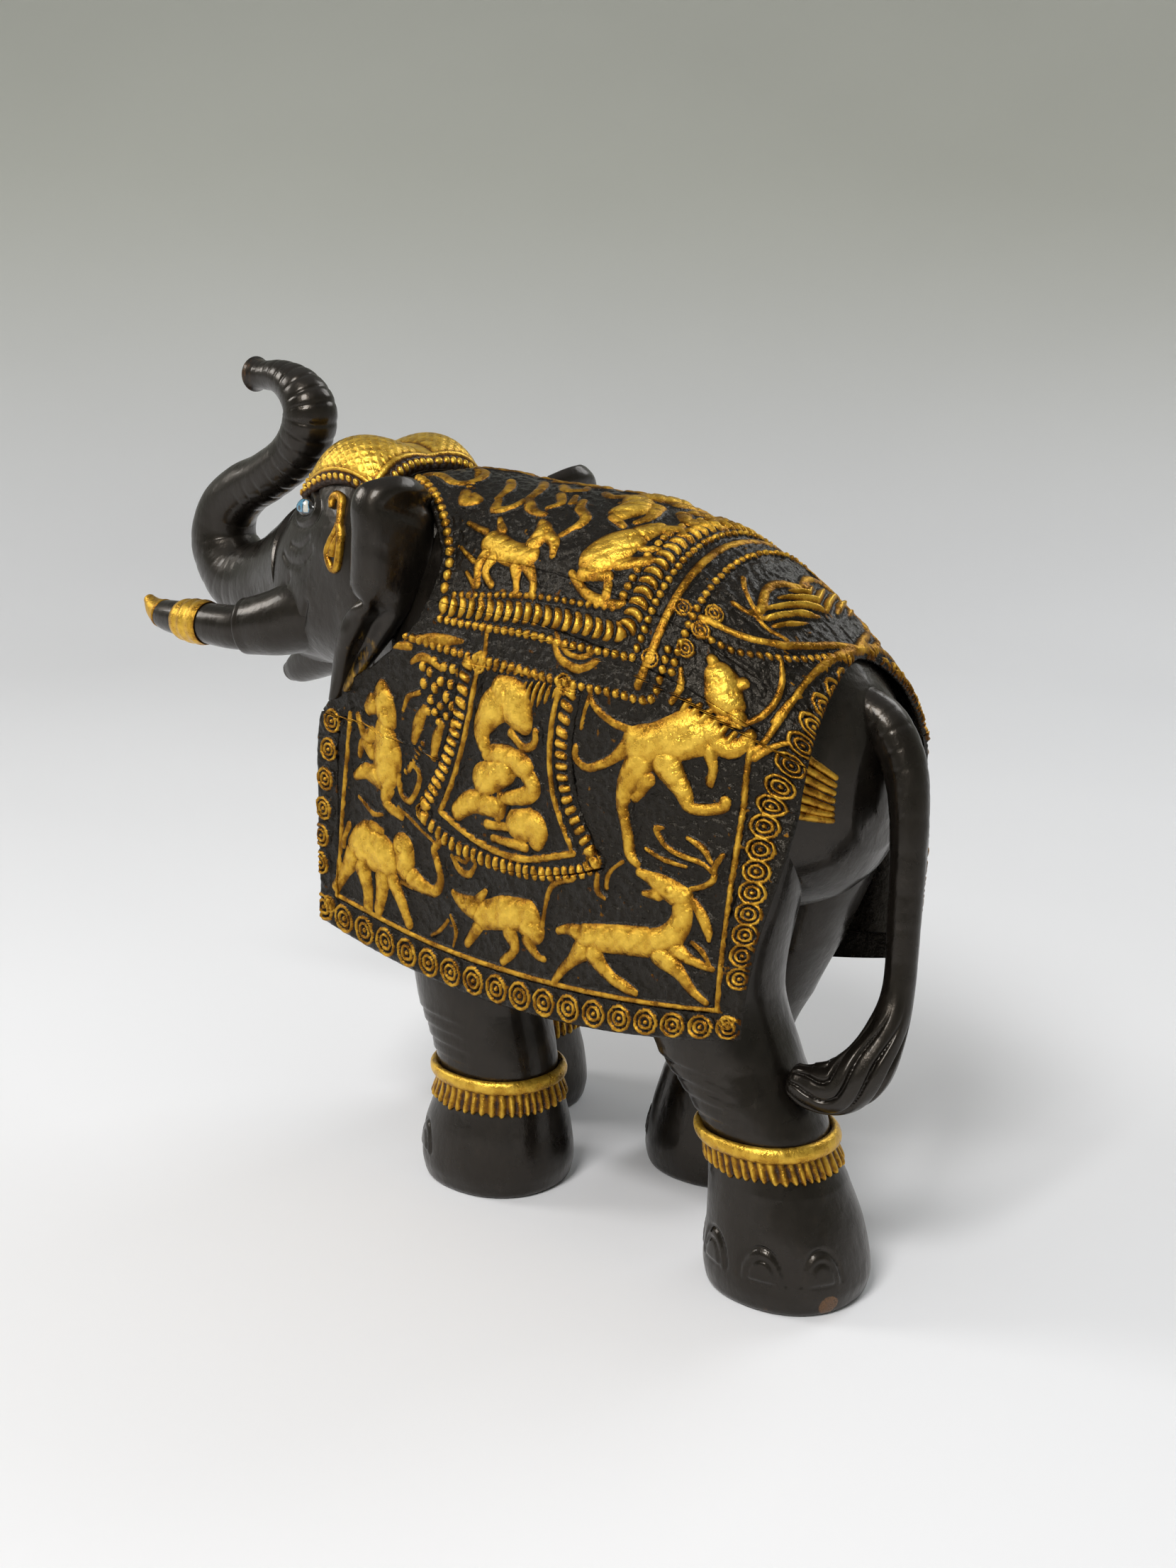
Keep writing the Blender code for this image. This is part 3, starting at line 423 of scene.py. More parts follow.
GOAT = [
    [(-44, 65, 8), (-30, 70, 8), (-18, 70, 8)], [(-42, 58, 4), (-49, 50, 2)],
    [(-52, 60, 3), (-66, 57, 2)], [(-18, 64, 6), (-17, 54, 6), (-22, 48, 3)],
    [(-14, 55, 5), (-6, 60, 4), (-3, 67, 2.6)], [(-44, 72, 5), (-46, 80, 3.2), (-42, 89, 2.6)],
    [(-38, 73, 5), (-40, 82, 3), (-33, 88, 2.6)], [(-22, 76, 5), (-18, 84, 3), (-16, 90, 2.4)],
    [(-14, 76, 4.6), (-8, 82, 3), (-6, 89, 2.4)], [(-62, 72, 1.6), (-50, 78, 2)],
    [(-52, 84, 1.6), (-44, 90, 2)]
]
SADDLE_BEAST = [
    [(22, 62, 11), (27, 52, 12), (32, 42, 9)], [(34, 36, 8), (38, 27, 6)],
    [(40, 27, 5), (46, 22, 4), (50, 24, 3)], [(34, 60, 5), (44, 54, 4), (49, 50, 3)],
    [(20, 70, 6), (32, 68, 4)], [(40, 46, 3), (48, 42, 2)]
]
UPPER_BEAST = [
    [(8, 6, 8), (16, 14, 10), (14, 26, 8)], [(22, 8, 6), (28, 20, 4), (26, 30, 3)],
    [(13, 32, 4), (22, 36, 3)], [(36, 4, 5), (45, 12, 4), (48, 4, 4)]
]
SADDLE_SCROLLS = [
    [(-12, 24, 2.4), (-8, 32, 2.8), (0, 38, 3), (0, 46, 2.6), (-5, 54, 2)],
    [(-20, 20, 2), (-16, 28, 2.4)],
    [(-126, 20, 2.4), (-112, 24, 2.8), (-98, 30, 2.8), (-90, 27, 2.6), (-88, 18, 2.6),
     (-94, 8, 2.4), (-106, 2, 2)],
    [(-84, 36, 3), (-78, 43, 4), (-72, 40, 3), (-78, 36, 2)],
    [(-60, 36, 2.4), (-56, 44, 3.4), (-48, 40, 2.6), (-44, 28, 3), (-48, 14, 3), (-56, 4, 2.6)],
    [(-44, 30, 3), (-34, 40, 3), (-24, 42, 2)], [(-72, 12, 2.6), (-64, 22, 3), (-62, 34, 2.4)],
    [(-30, 20, 2.6), (-22, 30, 2.6), (-26, 36, 2)],
    [(-40, 6, 3), (-30, 14, 3), (-24, 8, 2.4), (-28, 2, 2)],
    [(12, 73, 2), (24, 80, 2.6), (38, 81, 2.6), (46, 78, 1.8)], [(34, 72, 2.4), (36, 78, 2.6)],
    [(-10, 8, 2.6), (-2, 12, 3), (2, 4, 2.4)],
    [(14, 106, 1.6), (20, 112, 2), (32, 113, 2), (41, 107, 1.6)],
    [(14, 102, 1.2), (22, 108, 1.4), (32, 108, 1.4), (38, 104, 1.2)],
    [(-29, 108, 1.6), (-28, 118, 1.6)], [(-80, 121, 1.6), (-62, 117, 2.6), (-44, 115, 1.4)],
    [(-98, 128, 1.4), (-80, 124, 2)]
]
THICKER = 1.35               # the saddle's strokes, against the radii listed above
SADDLE_SCROLLS = [[(a, d, THICKER * r) for a, d, r in stroke] for stroke in SADDLE_SCROLLS]
PEACOCK = [
    [(103, 2, 3), (98, 14, 2.8), (98, 26, 2.8), (102, 38, 3), (101, 46, 2), (92, 48, 2)],
    [(104, 44, 3), (100, 42, 2), (92, 36, 2), (88, 30, 2)],
    [(100, 45, 2), (110, 47, 2), (118, 44, 1.6)],
    [(121, 58, 1.6), (125, 68, 2), (126, 80, 2), (123, 92, 2), (117, 102, 1.6)],
    [(128, 92, 1.6), (131, 76, 1.6), (134, 68, 1.4)],
    [(124, 116, 2), (130, 106, 2.2), (136, 98, 1.4)], [(83, 110, 2), (86, 102, 2.4), (84, 94, 1.6)]
]
PLUME = [[(110, 2, 9), (111, 20, 9), (109, 38, 7)]]
EYES = [
    (-86, 220, 2.6), (91, 198, 2.4), (-12, 132, 2.4), (-40, 233, 1.4), (-96, 156, 2.2),
    (101, 90, 1.8), (109, 91, 1.8), (-14, 54, 1.6), (32, 44, 1.6)
]


def follow(along, down, path):
    """Distance from each point to a bent line, how far along the line its nearest point lies, and
    the line's length: the least distance over all straight spans."""
    path = np.asarray(path, float)[:, :2]
    nearest = np.full(along.shape, 1e9)
    travelled = np.zeros(along.shape)
    start = 0.0
    for a, b in zip(path[:-1], path[1:]):
        step = b - a
        length = np.hypot(*step)
        t = np.clip(((along - a[0]) * step[0] + (down - a[1]) * step[1]) / length ** 2, 0, 1)
        distance = np.hypot(along - a[0] - step[0] * t, down - a[1] - step[1] * t)
        closer = distance < nearest
        nearest = np.where(closer, distance, nearest)
        travelled = np.where(closer, start + length * t, travelled)
        start += length
    return nearest, travelled, start


def through(path, share):
    """Points on the Catmull-Rom curve through marks numbered 0, 1, 2 and on, at these shares."""
    return blend(np.column_stack([np.arange(len(path)), np.asarray(path, float)]), share)


def bent(path, per_span=6):
    """A bent line through the marks."""
    return through(path, np.linspace(0, len(path) - 1, per_span * (len(path) - 1) + 1))


def dome(share):
    """A round top: the square root of 1 - share^2."""
    return np.sqrt(np.clip(1 - share ** 2, 0, 1))


def stroke_height(radius):
    """How proud a stroke of this radius stands: 1.5 mm and a quarter of the radius, up to 4.1
    mm."""
    return 1.5 + 2.6 * np.minimum(radius, 10.0) / 10.0


def rounded(share):
    """A fuller top than a parabola and a steeper foot: half circle and half parabola."""
    return 0.5 * dome(share) + 0.5 * np.clip(1 - share ** 2, 0, 1)


def carve(along, down, figure, lift=1.0):
    """Height of a figure. Every chain is a run of tapering strokes with a round top; the highest
    stroke shows, and a furrow half a millimetre deep is cut where two chains meet at the same
    height."""
    height = np.zeros(along.shape)
    for chain in figure:
        run = bent(chain, 4) if len(chain) > 2 else np.asarray(chain, float)
        limb = np.zeros(along.shape)
        for (x0, y0, r0), (x1, y1, r1) in zip(run[:-1], run[1:]):
            reach = max(r0, r1) + 0.5
            near = ((along > min(x0, x1) - reach) & (along < max(x0, x1) + reach)
                    & (down > min(y0, y1) - reach) & (down < max(y0, y1) + reach))
            if not near.any():
                continue
            px, py = along[near] - x0, down[near] - y0
            dx, dy = x1 - x0, y1 - y0
            t = np.clip((px * dx + py * dy) / max(dx * dx + dy * dy, 1e-6), 0, 1)
            radius = r0 + (r1 - r0) * t
            reach = np.hypot(px - dx * t, py - dy * t) / radius
            stroke = lift * stroke_height(radius) * rounded(reach)
            limb[near] = np.maximum(limb[near], stroke)
        furrow = 0.5 * hump(height - limb, 0, 0.32) * smooth(0.9, 1.6, np.minimum(height, limb))
        height = np.maximum(height, limb) - furrow
    return height


def beads(along, down, path, pitch, radius, top):
    """A string of beads: on the line through path, a round bead every pitch."""
    distance, travelled, length = follow(along, down, bent(path))
    count = max(1, round(length / pitch))
    offset = (travelled * count / length) % 1.0 - 0.5
    return top * dome(np.hypot(offset * length / count, distance) / radius)


def rope(along, down, path, pitch, radius, top, lean=0.0):
    """A ribbed band: a round section along a line, with ribs where the cosine of the distance along
    it is high. The ribs bend back as the square of the distance from the line, times lean."""
    distance, travelled, length = follow(along, down, bent(path))
    count = max(1, round(length / pitch))
    rib = 0.5 + 0.5 * np.cos(2 * np.pi * (travelled + lean * distance ** 2) * count / length)
    return top * dome(distance / radius) * (0.08 + 0.92 * rib ** 0.7)


def line(along, down, path, radius, top, curved):
    """A smooth raised band with a round section, along a bent or a straight-sided line."""
    distance = follow(along, down, bent(path) if curved else path)[0]
    return top * dome(distance / radius)


def rosettes(along, down, centres, size=1.0):
    """Round flowers: a dome in the middle, a ring, and an outer ring that waves a little."""
    height = np.zeros(along.shape)
    for x, y in centres:
        near = (np.abs(along - x) < 9 * size) & (np.abs(down - y) < 9 * size)
        if not near.any():
            continue
        px, py = along[near] - x, down[near] - y
        r, turn = np.hypot(px, py) / size, np.arctan2(py, px)
        middle = 2.6 * dome(r / 1.5)
        inner = 2.4 * dome((r - 3.5) / 0.95)
        outer = 2.5 * dome((r - 6.35 - 0.12 * np.cos(9 * turn)) / 1.0)
        height[near] = np.maximum(height[near], np.maximum(np.maximum(middle, inner), outer))
    return height


FRAME_LINE = [
    (122, 108), (122, 150), (122, 200), (122, 261), (122, 261), (60, 261), (-60, 261), (-136, 261),
    (-136, 261), (-131, 215), (-124, 165)
]
REAR_COLUMN = [
    (146, 2), (145, 24), (144, 48), (143, 75), (141, 100), (137, 125), (133, 146), (133, 167),
    (133, 187), (133, 207), (133, 227), (133, 247)
]
FRONT_COLUMN = [(-138, 171), (-141, 186), (-144, 202), (-146, 218), (-148, 233), (-149, 248)]
LINES = [
    (FRAME_LINE, 1.7, 2.3, False),
    ([(65, 110), (68, 90), (69, 60), (69, 30), (69, 0)], 2.6, 2.0, True),
    ([(84, 66), (100, 62), (115, 52), (124, 38), (130, 22), (136, 0)], 2.2, 2.2, True),
    ([(-31, 123), (-36, 140), (-42, 160), (-50, 180), (-57, 193)], 1.8, 2.4, True),
    ([(22, 123), (17, 145), (20, 170), (33, 194)], 1.8, 2.4, True),
    ([(-57, 193), (-30, 202), (0, 204), (33, 194)], 2.0, 2.4, True),
    ([(136, 2), (134, 40), (132, 75), (128, 100), (124, 112)], 1.8, 2.0, True)
]
ROPES = [
    ([(-39, 124), (-45, 147), (-54, 170), (-68, 192)], 5.0, 4.0, 3.3),
    ([(28, 124), (24, 147), (29, 170), (43, 190)], 5.0, 4.0, 3.3),
    ([(-68, 200), (-45, 208), (0, 210), (35, 203), (46, 196)], 5.2, 4.0, 3.3),
    ([(-108, 0), (-96, 12), (-88, 22), (-86, 30)], 3.4, 2.4, 2.0),
    ([(-70, 164), (-76, 174), (-82, 181)], 3.2, 2.2, 2.0)
]
BEAD_RUNS = [
    ([(-96, 121), (-60, 120), (0, 121), (30, 120), (55, 117), (71, 114), (75, 106), (75, 86)], 4.9,
     2.15, 3.0),
    ([(-58, 96), (-20, 91), (20, 86), (44, 82)], 4.6, 2.0, 2.2),
    ([(-64, 108), (-20, 107), (20, 105), (52, 101), (60, 96), (61, 60), (61, 0)], 4.9, 2.15, 3.0),
    ([(44, 82), (45, 50), (45, 0)], 5.2, 2.5, 2.8),
    ([(80, 100), (80, 60), (80, 0)], 4.9, 2.15, 3.0),
    ([(-128, 25), (-112, 36), (-98, 45), (-80, 61), (-66, 80), (-63, 97)], 6.4, 3.0, 3.0),
    ([(85, 74), (104, 70), (122, 54), (132, 34), (139, 8)], 4.6, 2.1, 2.4),
    ([(-30, 117), (-30, 123), (22, 121)], 4.6, 1.8, 2.2)
]
GADROONS = [
    ([(-60, 101.5), (-20, 98.5), (20, 95), (46, 92), (53, 85), (53, 50), (53, 0)], 6.2, 5.4, 3.4)
]
FLOWERS = [(74, 66), (86, 72), (83, 84), (88, 60), (68, 96)]
CORNERS = [(-70, 197), (46, 195), (-31, 122), (24, 121), (128, 268), (-142, 268)]
HEM_ROW = [(along, 271.5) for along in np.linspace(-147, 129, 18)]
FIGURES = [
    (MONKEY, 1), (FRUIT, 1), (SEATED, 1.12), (LION, 1.1), (STAFF, 1), (SMALL_ELEPHANT, 1.05),
    (RAT, 1), (SPRIGS, 0.9), (DEER, 1.05), (GOAT, 1), (SADDLE_BEAST, 1), (UPPER_BEAST, 1),
    (SADDLE_SCROLLS, 0.9), (PEACOCK, 1), (LION_HEAD, 1.15)
]
RIBBED = [(CAP, 3.4), (RUFF, 4.4), (PLUME, 4.8)]


def relief(along, down):
    """The cloth's carving in millimetres over its ground, and how far each point is gilded, from 0
    to 1."""
    layers = [carve(along, down, figure, lift) for figure, lift in FIGURES]
    for figure, pitch in RIBBED:
        ribs = np.cos(2 * np.pi * (along * 0.9 + down * 0.35) / pitch)
        layers.append(carve(along, down, figure, 1.1) * (0.55 + 0.45 * ribs))
    layers += [line(along, down, *run) for run in LINES]
    layers += [rope(along, down, *run) for run in ROPES]
    layers += [beads(along, down, *run) for run in BEAD_RUNS]
    layers += [rope(along, down, *run, lean=0.085) for run in GADROONS]
    layers += [3.2 * dome(np.hypot(along - x, down - y) / 2.3) for x, y in FRUIT_BEADS]
    for centres, size in ((HEM_ROW, 1.0), (bent(REAR_COLUMN, 8)[:-1:5], 0.98),
                          (FRONT_COLUMN, 0.85), (FLOWERS + CORNERS, 0.62)):
        layers.append(rosettes(along, down, centres, size))
    height = np.max(layers, axis=0)
    # tool cuts: shallow grooves across the larger bodies
    wander = 2.5 * lattice_noise(along / 14, down / 14, 3)
    cuts = np.sin((along * 0.7 + down * 0.72) * 2 * np.pi / 7.5 + wander)
    height = height - 0.40 * smooth(1.6, 2.6, height) * smooth(0.45, 1.0, cuts)
    uneven = lattice_noise(along / 4.2, down / 4.2, 15) - 0.5
    height = height + 0.55 * uneven * smooth(1.4, 2.6, height)
    for x, y, r in EYES:
        distance = np.hypot(along - x, down - y) / r
        height = height - hump(distance, 0.85, 0.24) * (height > 0.8)
    pebbles = lattice_noise(along / 2.3, down / 2.3, 11)
    worn = lattice_noise(along / 5.0, down / 5.0, 12)
    ground = 0.75 * smooth(0.25, 0.85, pebbles)
    gilt = smooth(0.75, 1.75, height + 0.5 * (worn - 0.5))
    flecks = 0.60 * smooth(0.66, 0.9, pebbles) * smooth(0.42, 0.85, worn)
    gilt = np.maximum(gilt, flecks * (height < 0.45))
    height = np.maximum(height, ground)
    height = height + 0.14 * (lattice_noise(along / 1.2, down / 1.2, 13) - 0.5) * (height > 0.9)
    return height, gilt


GROUND_LIFT = 0.0026         # the cloth's black ground over the body
UNDER_LIFT = 0.0006          # the cloth's under face over the body


# ---------------------------------------------------------------- finishes

class Finish:
    """A material under construction: short calls that add a node and join its sockets."""

    def __init__(self, name):
        self.material = bpy.data.materials.new(name)
        self.material.use_nodes = True
        self.tree = self.material.node_tree
        self.shader = self.tree.nodes["Principled BSDF"]
        self.place = self.add("ShaderNodeTexCoord").outputs["Object"]

    def add(self, kind, **settings):
        node = self.tree.nodes.new(kind)
        for key, value in settings.items():
            setattr(node, key, value)
        return node

    def join(self, source, target):
        self.tree.links.new(source, target)

    def noise(self, scale, detail=3.0, rough=0.55, stretch=None):
        node = self.add("ShaderNodeTexNoise")
        node.inputs["Scale"].default_value = scale
        node.inputs["Detail"].default_value = detail
        node.inputs["Roughness"].default_value = rough
        if stretch:
            mapping = self.add("ShaderNodeMapping")
            mapping.inputs["Scale"].default_value = stretch
            self.join(self.place, mapping.inputs["Vector"])
            self.join(mapping.outputs["Vector"], node.inputs["Vector"])
        else:
            self.join(self.place, node.inputs["Vector"])
        return node.outputs["Fac"]

    def value(self, name):
        return self.add("ShaderNodeAttribute", attribute_name=name).outputs["Fac"]

    def range(self, source, low, high, to_low=0.0, to_high=1.0):
        node = self.add("ShaderNodeMapRange", interpolation_type="SMOOTHSTEP")
        self.join(source, node.inputs["Value"])
        for key, number in (("From Min", low), ("From Max", high),
                            ("To Min", to_low), ("To Max", to_high)):
            node.inputs[key].default_value = number
        return node.outputs["Result"]

    def math(self, operation, first, second):
        node = self.add("ShaderNodeMath", operation=operation)
        for source, target in ((first, node.inputs[0]), (second, node.inputs[1])):
            if isinstance(source, (int, float)):
                target.default_value = source
            else:
                self.join(source, target)
        return node.outputs[0]

    def about(self, source, middle, amount):
        """How far the source is above the middle, times an amount."""
        return self.math("MULTIPLY", self.math("SUBTRACT", source, middle), amount)

    def ramp(self, source, stops):
        node = self.add("ShaderNodeValToRGB")
        ramp = node.color_ramp
        while len(ramp.elements) < len(stops):
            ramp.elements.new(0.5)
        for element, (position, colour) in zip(ramp.elements, stops):
            element.position, element.color = position, (*colour, 1.0)
        self.join(source, node.inputs["Fac"])
        return node.outputs["Color"]

    def mix(self, factor, first, second):
        node = self.add("ShaderNodeMix", data_type="RGBA")
        self.join(factor, node.inputs["Factor"])
        self.join(first, node.inputs["A"])
        self.join(second, node.inputs["B"])
        return node.outputs["Result"]

    def gold_tone(self, patches, fine):
        """Tone of the leaf from 0, brown, to 1, bright: patches and fine flecks, plus painted light
        from the light value, a painted highlight where it is high and painted shade where it is
        low."""
        broad = self.range(patches, 0.30, 0.70, 0.13, 0.43)
        tone = self.math("ADD", broad, self.math("MULTIPLY", fine, 0.16))
        # painted light: the light value brightens or darkens the leaf's tone
        return self.math("ADD", tone, self.about(self.value("light"), 0.38, 0.72))

    def bump(self, layers):
        """Bumps one on another: each layer is (source, distance in metres, strength)."""
        previous = None
        for source, distance, strength in layers:
            node = self.add("ShaderNodeBump")
            node.inputs["Distance"].default_value = distance
            node.inputs["Strength"].default_value = strength
            self.join(source, node.inputs["Height"])
            if previous is not None:
                self.join(previous, node.inputs["Normal"])
            previous = node.outputs["Normal"]
        self.join(previous, self.shader.inputs["Normal"])


BLACKS = [
    (0.25, (0.0030, 0.0024, 0.0019)), (0.6, (0.0060, 0.0048, 0.0037)),
    (0.85, (0.013, 0.0098, 0.0070))
]
GOLDS = [
    (0.18, (0.075, 0.026, 0.003)), (0.38, (0.27, 0.120, 0.010)), (0.58, (0.56, 0.31, 0.032)),
    (0.95, (0.88, 0.57, 0.080))
]


def gilt_lacquer(name):
    """Black lacquer with gold leaf laid on where the gilt value is high, broken up along its edge
    by noise."""
    f = Finish(name)
    patches = f.noise(140.0, 4.0, 0.6)
    fine = f.noise(900.0, 2.0, 0.6)
    grain = f.noise(420.0, 4.0, 0.65)
    rubbed = f.math("ADD", f.value("gilt"), f.about(grain, 0.5, 0.55))
    gold = f.range(rubbed, 0.36, 0.60)
    # the leaf's tone carries painted light: painted highlight on high carving, painted shade in the
    # hollows
    leaf = f.ramp(f.gold_tone(patches, fine), GOLDS)
    dark = f.ramp(grain, BLACKS)
    f.join(f.mix(gold, dark, leaf), f.shader.inputs["Base Color"])
    f.join(f.math("MULTIPLY", gold, 0.82), f.shader.inputs["Metallic"])
    gold_gloss = f.range(patches, 0.3, 0.7, 0.22, 0.44)
    dark_gloss = f.range(grain, 0.3, 0.75, 0.16, 0.34)
    roughness = f.add("ShaderNodeMix", data_type="FLOAT")
    f.join(gold, roughness.inputs["Factor"])
    f.join(dark_gloss, roughness.inputs["A"])
    f.join(gold_gloss, roughness.inputs["B"])
    f.join(roughness.outputs["Result"], f.shader.inputs["Roughness"])
    f.shader.inputs["Specular IOR Level"].default_value = 0.26
    f.shader.inputs["Specular Tint"].default_value = (1.0, 0.90, 0.76, 1.0)
    f.bump([(patches, 0.0030, 0.50), (grain, 0.0010, 0.55), (fine, 0.0003, 0.44)])
    return f.material


def black_lacquer(name):
    """Hand-rubbed black lacquer over carved wood: long soft undulations, dust-fine specks, brown at
    the worn edges where the wear value is high, and a breath of gold where the gilt value is
    high."""
    f = Finish(name)
    broad = f.noise(45.0, 3.0, 0.5)
    brushed = f.noise(160.0, 3.0, 0.6, stretch=(1.0, 1.0, 0.35))
    fine = f.noise(1300.0, 2.0, 0.6)
    dark = f.ramp(brushed, BLACKS)
    brown = f.ramp(fine, [(0.3, (0.050, 0.024, 0.010)), (0.7, (0.16, 0.075, 0.028))])
    leaf = f.ramp(brushed, GOLDS)
    worn = f.range(f.math("ADD", f.value("wear"), f.about(brushed, 0.5, 1.1)), 0.45, 0.75)
    gold = f.range(f.math("ADD", f.value("gilt"), f.about(brushed, 0.5, 0.9)), 0.42, 0.72)
    f.join(f.mix(gold, f.mix(worn, dark, brown), leaf), f.shader.inputs["Base Color"])
    f.join(f.math("MULTIPLY", gold, 0.75), f.shader.inputs["Metallic"])
    gloss = f.range(broad, 0.3, 0.7, 0.20, 0.34)
    f.join(f.math("ADD", gloss, f.math("MULTIPLY", fine, 0.05)), f.shader.inputs["Roughness"])
    f.shader.inputs["Specular IOR Level"].default_value = 0.36
    f.shader.inputs["Specular Tint"].default_value = (1.0, 0.88, 0.76, 1.0)
    f.shader.inputs["Coat Weight"].default_value = 0.20
    f.shader.inputs["Coat Roughness"].default_value = 0.08
    f.shader.inputs["Coat Tint"].default_value = (1.0, 0.96, 0.90, 1.0)
    f.bump([(broad, 0.0040, 0.35), (brushed, 0.0012, 0.30), (fine, 0.0002, 0.35)])
    return f.material


def gilding(name):
    """Gold leaf that turns dark brown and less metallic where the light value is low, which is
    painted shade in the hollows, and bright where it is high, which is a painted highlight.
    """
    f = Finish(name)
    patches = f.noise(170.0, 4.0, 0.6)
    fine = f.noise(900.0, 2.0, 0.6)
    grain = f.noise(480.0, 4.0, 0.65)
    tone = f.gold_tone(patches, fine)
    # painted shade and painted highlight: the tone follows the light value
    leaf = f.ramp(tone, [(0.10, (0.030, 0.012, 0.003))] + GOLDS)
    f.join(leaf, f.shader.inputs["Base Color"])
    f.join(f.range(tone, 0.05, 0.35, 0.25, 0.85), f.shader.inputs["Metallic"])
    f.join(f.range(patches, 0.3, 0.7, 0.22, 0.42), f.shader.inputs["Roughness"])
    f.bump([(patches, 0.0022, 0.35), (grain, 0.0008, 0.5), (fine, 0.0003, 0.4)])
    return f.material


def raw_wood(name):
    """Bare light-brown wood with a fine lengthwise grain."""
    f = Finish(name)
    grain = f.noise(260.0, 5.0, 0.65, stretch=(6.0, 1.0, 6.0))
    fine = f.noise(1400.0, 2.0, 0.5)
    browns = [(0.3, (0.17, 0.085, 0.035)), (0.5, (0.33, 0.19, 0.085)), (0.7, (0.47, 0.30, 0.15))]
    f.join(f.ramp(grain, browns), f.shader.inputs["Base Color"])
    f.join(f.range(fine, 0.3, 0.7, 0.55, 0.75), f.shader.inputs["Roughness"])
    f.bump([(grain, 0.0004, 0.5)])
    return f.material


def eye_paint(name):
    """Painted eye: black, then blue, then white as the white value rises; the surface is glossy."""
    f = Finish(name)
    fine = f.noise(1800.0, 2.0, 0.5)
    white = f.ramp(fine, [(0.3, (0.44, 0.42, 0.36)), (0.7, (0.60, 0.57, 0.50))])
    blue = f.ramp(fine, [(0.3, (0.030, 0.150, 0.260)), (0.7, (0.070, 0.250, 0.380))])
    black = f.ramp(fine, [(0.3, (0.004, 0.004, 0.004)), (0.7, (0.010, 0.009, 0.008))])
    painted = f.mix(f.range(f.value("white"), 0.2, 0.3), black, blue)
    painted = f.mix(f.range(f.value("white"), 0.7, 0.8), painted, white)
    f.join(painted, f.shader.inputs["Base Color"])
    f.join(f.range(fine, 0.3, 0.7, 0.14, 0.24), f.shader.inputs["Roughness"])
    f.shader.inputs["Coat Weight"].default_value = 0.5
    f.bump([(fine, 0.0001, 0.3)])
    return f.material


def floor_paper(name):
    """Matt paper, cool and pale where it lies flat; greyer and warmer where it rises, which is
    painted shade for the backdrop climbing away from the lamps.
    """
    f = Finish(name)
    broad = f.noise(1.2, 2.0, 0.5)
    split = f.add("ShaderNodeSeparateXYZ")
    f.join(f.place, split.inputs[0])
    near = f.ramp(broad, [(0.3, (0.86, 0.865, 0.895)), (0.7, (0.89, 0.895, 0.925))])
    far = f.ramp(broad, [(0.3, (0.70, 0.71, 0.655)), (0.7, (0.73, 0.74, 0.685))])
    # painted shade: the colour darkens and warms with height
    f.join(f.mix(f.range(split.outputs["Z"], 0.0, 0.9), near, far), f.shader.inputs["Base Color"])
    f.shader.inputs["Specular IOR Level"].default_value = 0.2
    f.join(f.range(broad, 0.3, 0.7, 0.70, 0.80), f.shader.inputs["Roughness"])
    return f.material


CLOTH_FINISH = gilt_lacquer("carved_cloth_gilding")
SKIN = black_lacquer("rubbed_black_lacquer")
GOLD = gilding("old_gold_leaf")
WOOD = raw_wood("raw_wood")
EYE = eye_paint("eye_paint")


def stand_for(piece, node):
    """The piece rides on the fixed frame and is seen in place of the node."""
    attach(piece, "root")
    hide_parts(node)


# ---------------------------------------------------------------- cloth pieces

FINE = 0.76     # spacing of the carved grids, in millimetres
INSET_U, INSET_V = 0.0575, 0.0600      # the border's width as a share of the cloth
FULL_LIGHT_MM = 3.9                    # carving this high gets the full painted highlight on its leaf; lower carving gets painted shade
NICHE_SAG = 14.0
NICHE_LEFT = np.array([(0.0, -45, 122.5), (0.33, -50.5, 147), (0.66, -60, 171), (1.0, -76, 200)])
NICHE_RIGHT = np.array([(0.0, 34.5, 122.5), (0.33, 30, 147), (0.66, 35.5, 170), (1.0, 52, 197)])


def rounded_rim(u, v, height):
    """Lowers the carved face towards the cloth's free edges, as a quarter round 1.6 mm wide."""
    edge = np.minimum(np.minimum(u, 1 - u) * LENGTH_MM, (1 - v) * WIDTH_MM)
    return (height + 1.4) * (0.25 + 0.75 * np.sqrt(np.clip(edge / 1.6, 0, 1))) - 1.4


def cloth_piece(name, u, v, side, node, level=None, extra=0.0, lower_lift=UNDER_LIFT):
    """A carved patch of the cloth over a grid of u and v, for one node."""
    upper, lower, height, gilt = cloth_pair(u, np.maximum(v, 1e-4), side, level, extra, lower_lift)
    # painted light: brighter painted highlight on high carving, painted shade on low carving and in
    # the hollows
    light = np.clip(height / FULL_LIGHT_MM, 0, 1)
    piece = sheet(name, upper, lower, CLOTH_FINISH, {"gilt": gilt, "light": light}, flip=side > 0)
    stand_for(piece, node)


def cloth_pair(u, v, side, level=None, extra=0.0, lower_lift=UNDER_LIFT):
    """Carved face and plain under face of a patch of the cloth, both moved out along the surface's
    normal, which is the cross product of the surface's differences along v and u."""
    base = cloth_base(u, v)
    rows = cloth_base(u, v + 0.002) - cloth_base(u, np.maximum(v - 0.002, 1e-4))
    columns = cloth_base(u + 0.002, v) - cloth_base(u - 0.002, v)
    ridge = v < 0.0005
    normal = unit(np.cross(rows, columns))
    normal[..., 0] = np.where(ridge, 0.0, normal[..., 0])
    height, gilt = relief(base[..., 1] * 1000, v * WIDTH_MM)
    if level is not None:
        height, gilt = level(base[..., 1] * 1000, v * WIDTH_MM, height, gilt)
    height = rounded_rim(u, v, height)
    upper = base + normal * (GROUND_LIFT + extra + height / 1000)[..., None]
    lower = base + normal * lower_lift
    for face in (upper, lower):
        face[..., 0] = np.where(ridge, 0.0, face[..., 0])
    return on_side(upper, side), on_side(lower, side), height, gilt


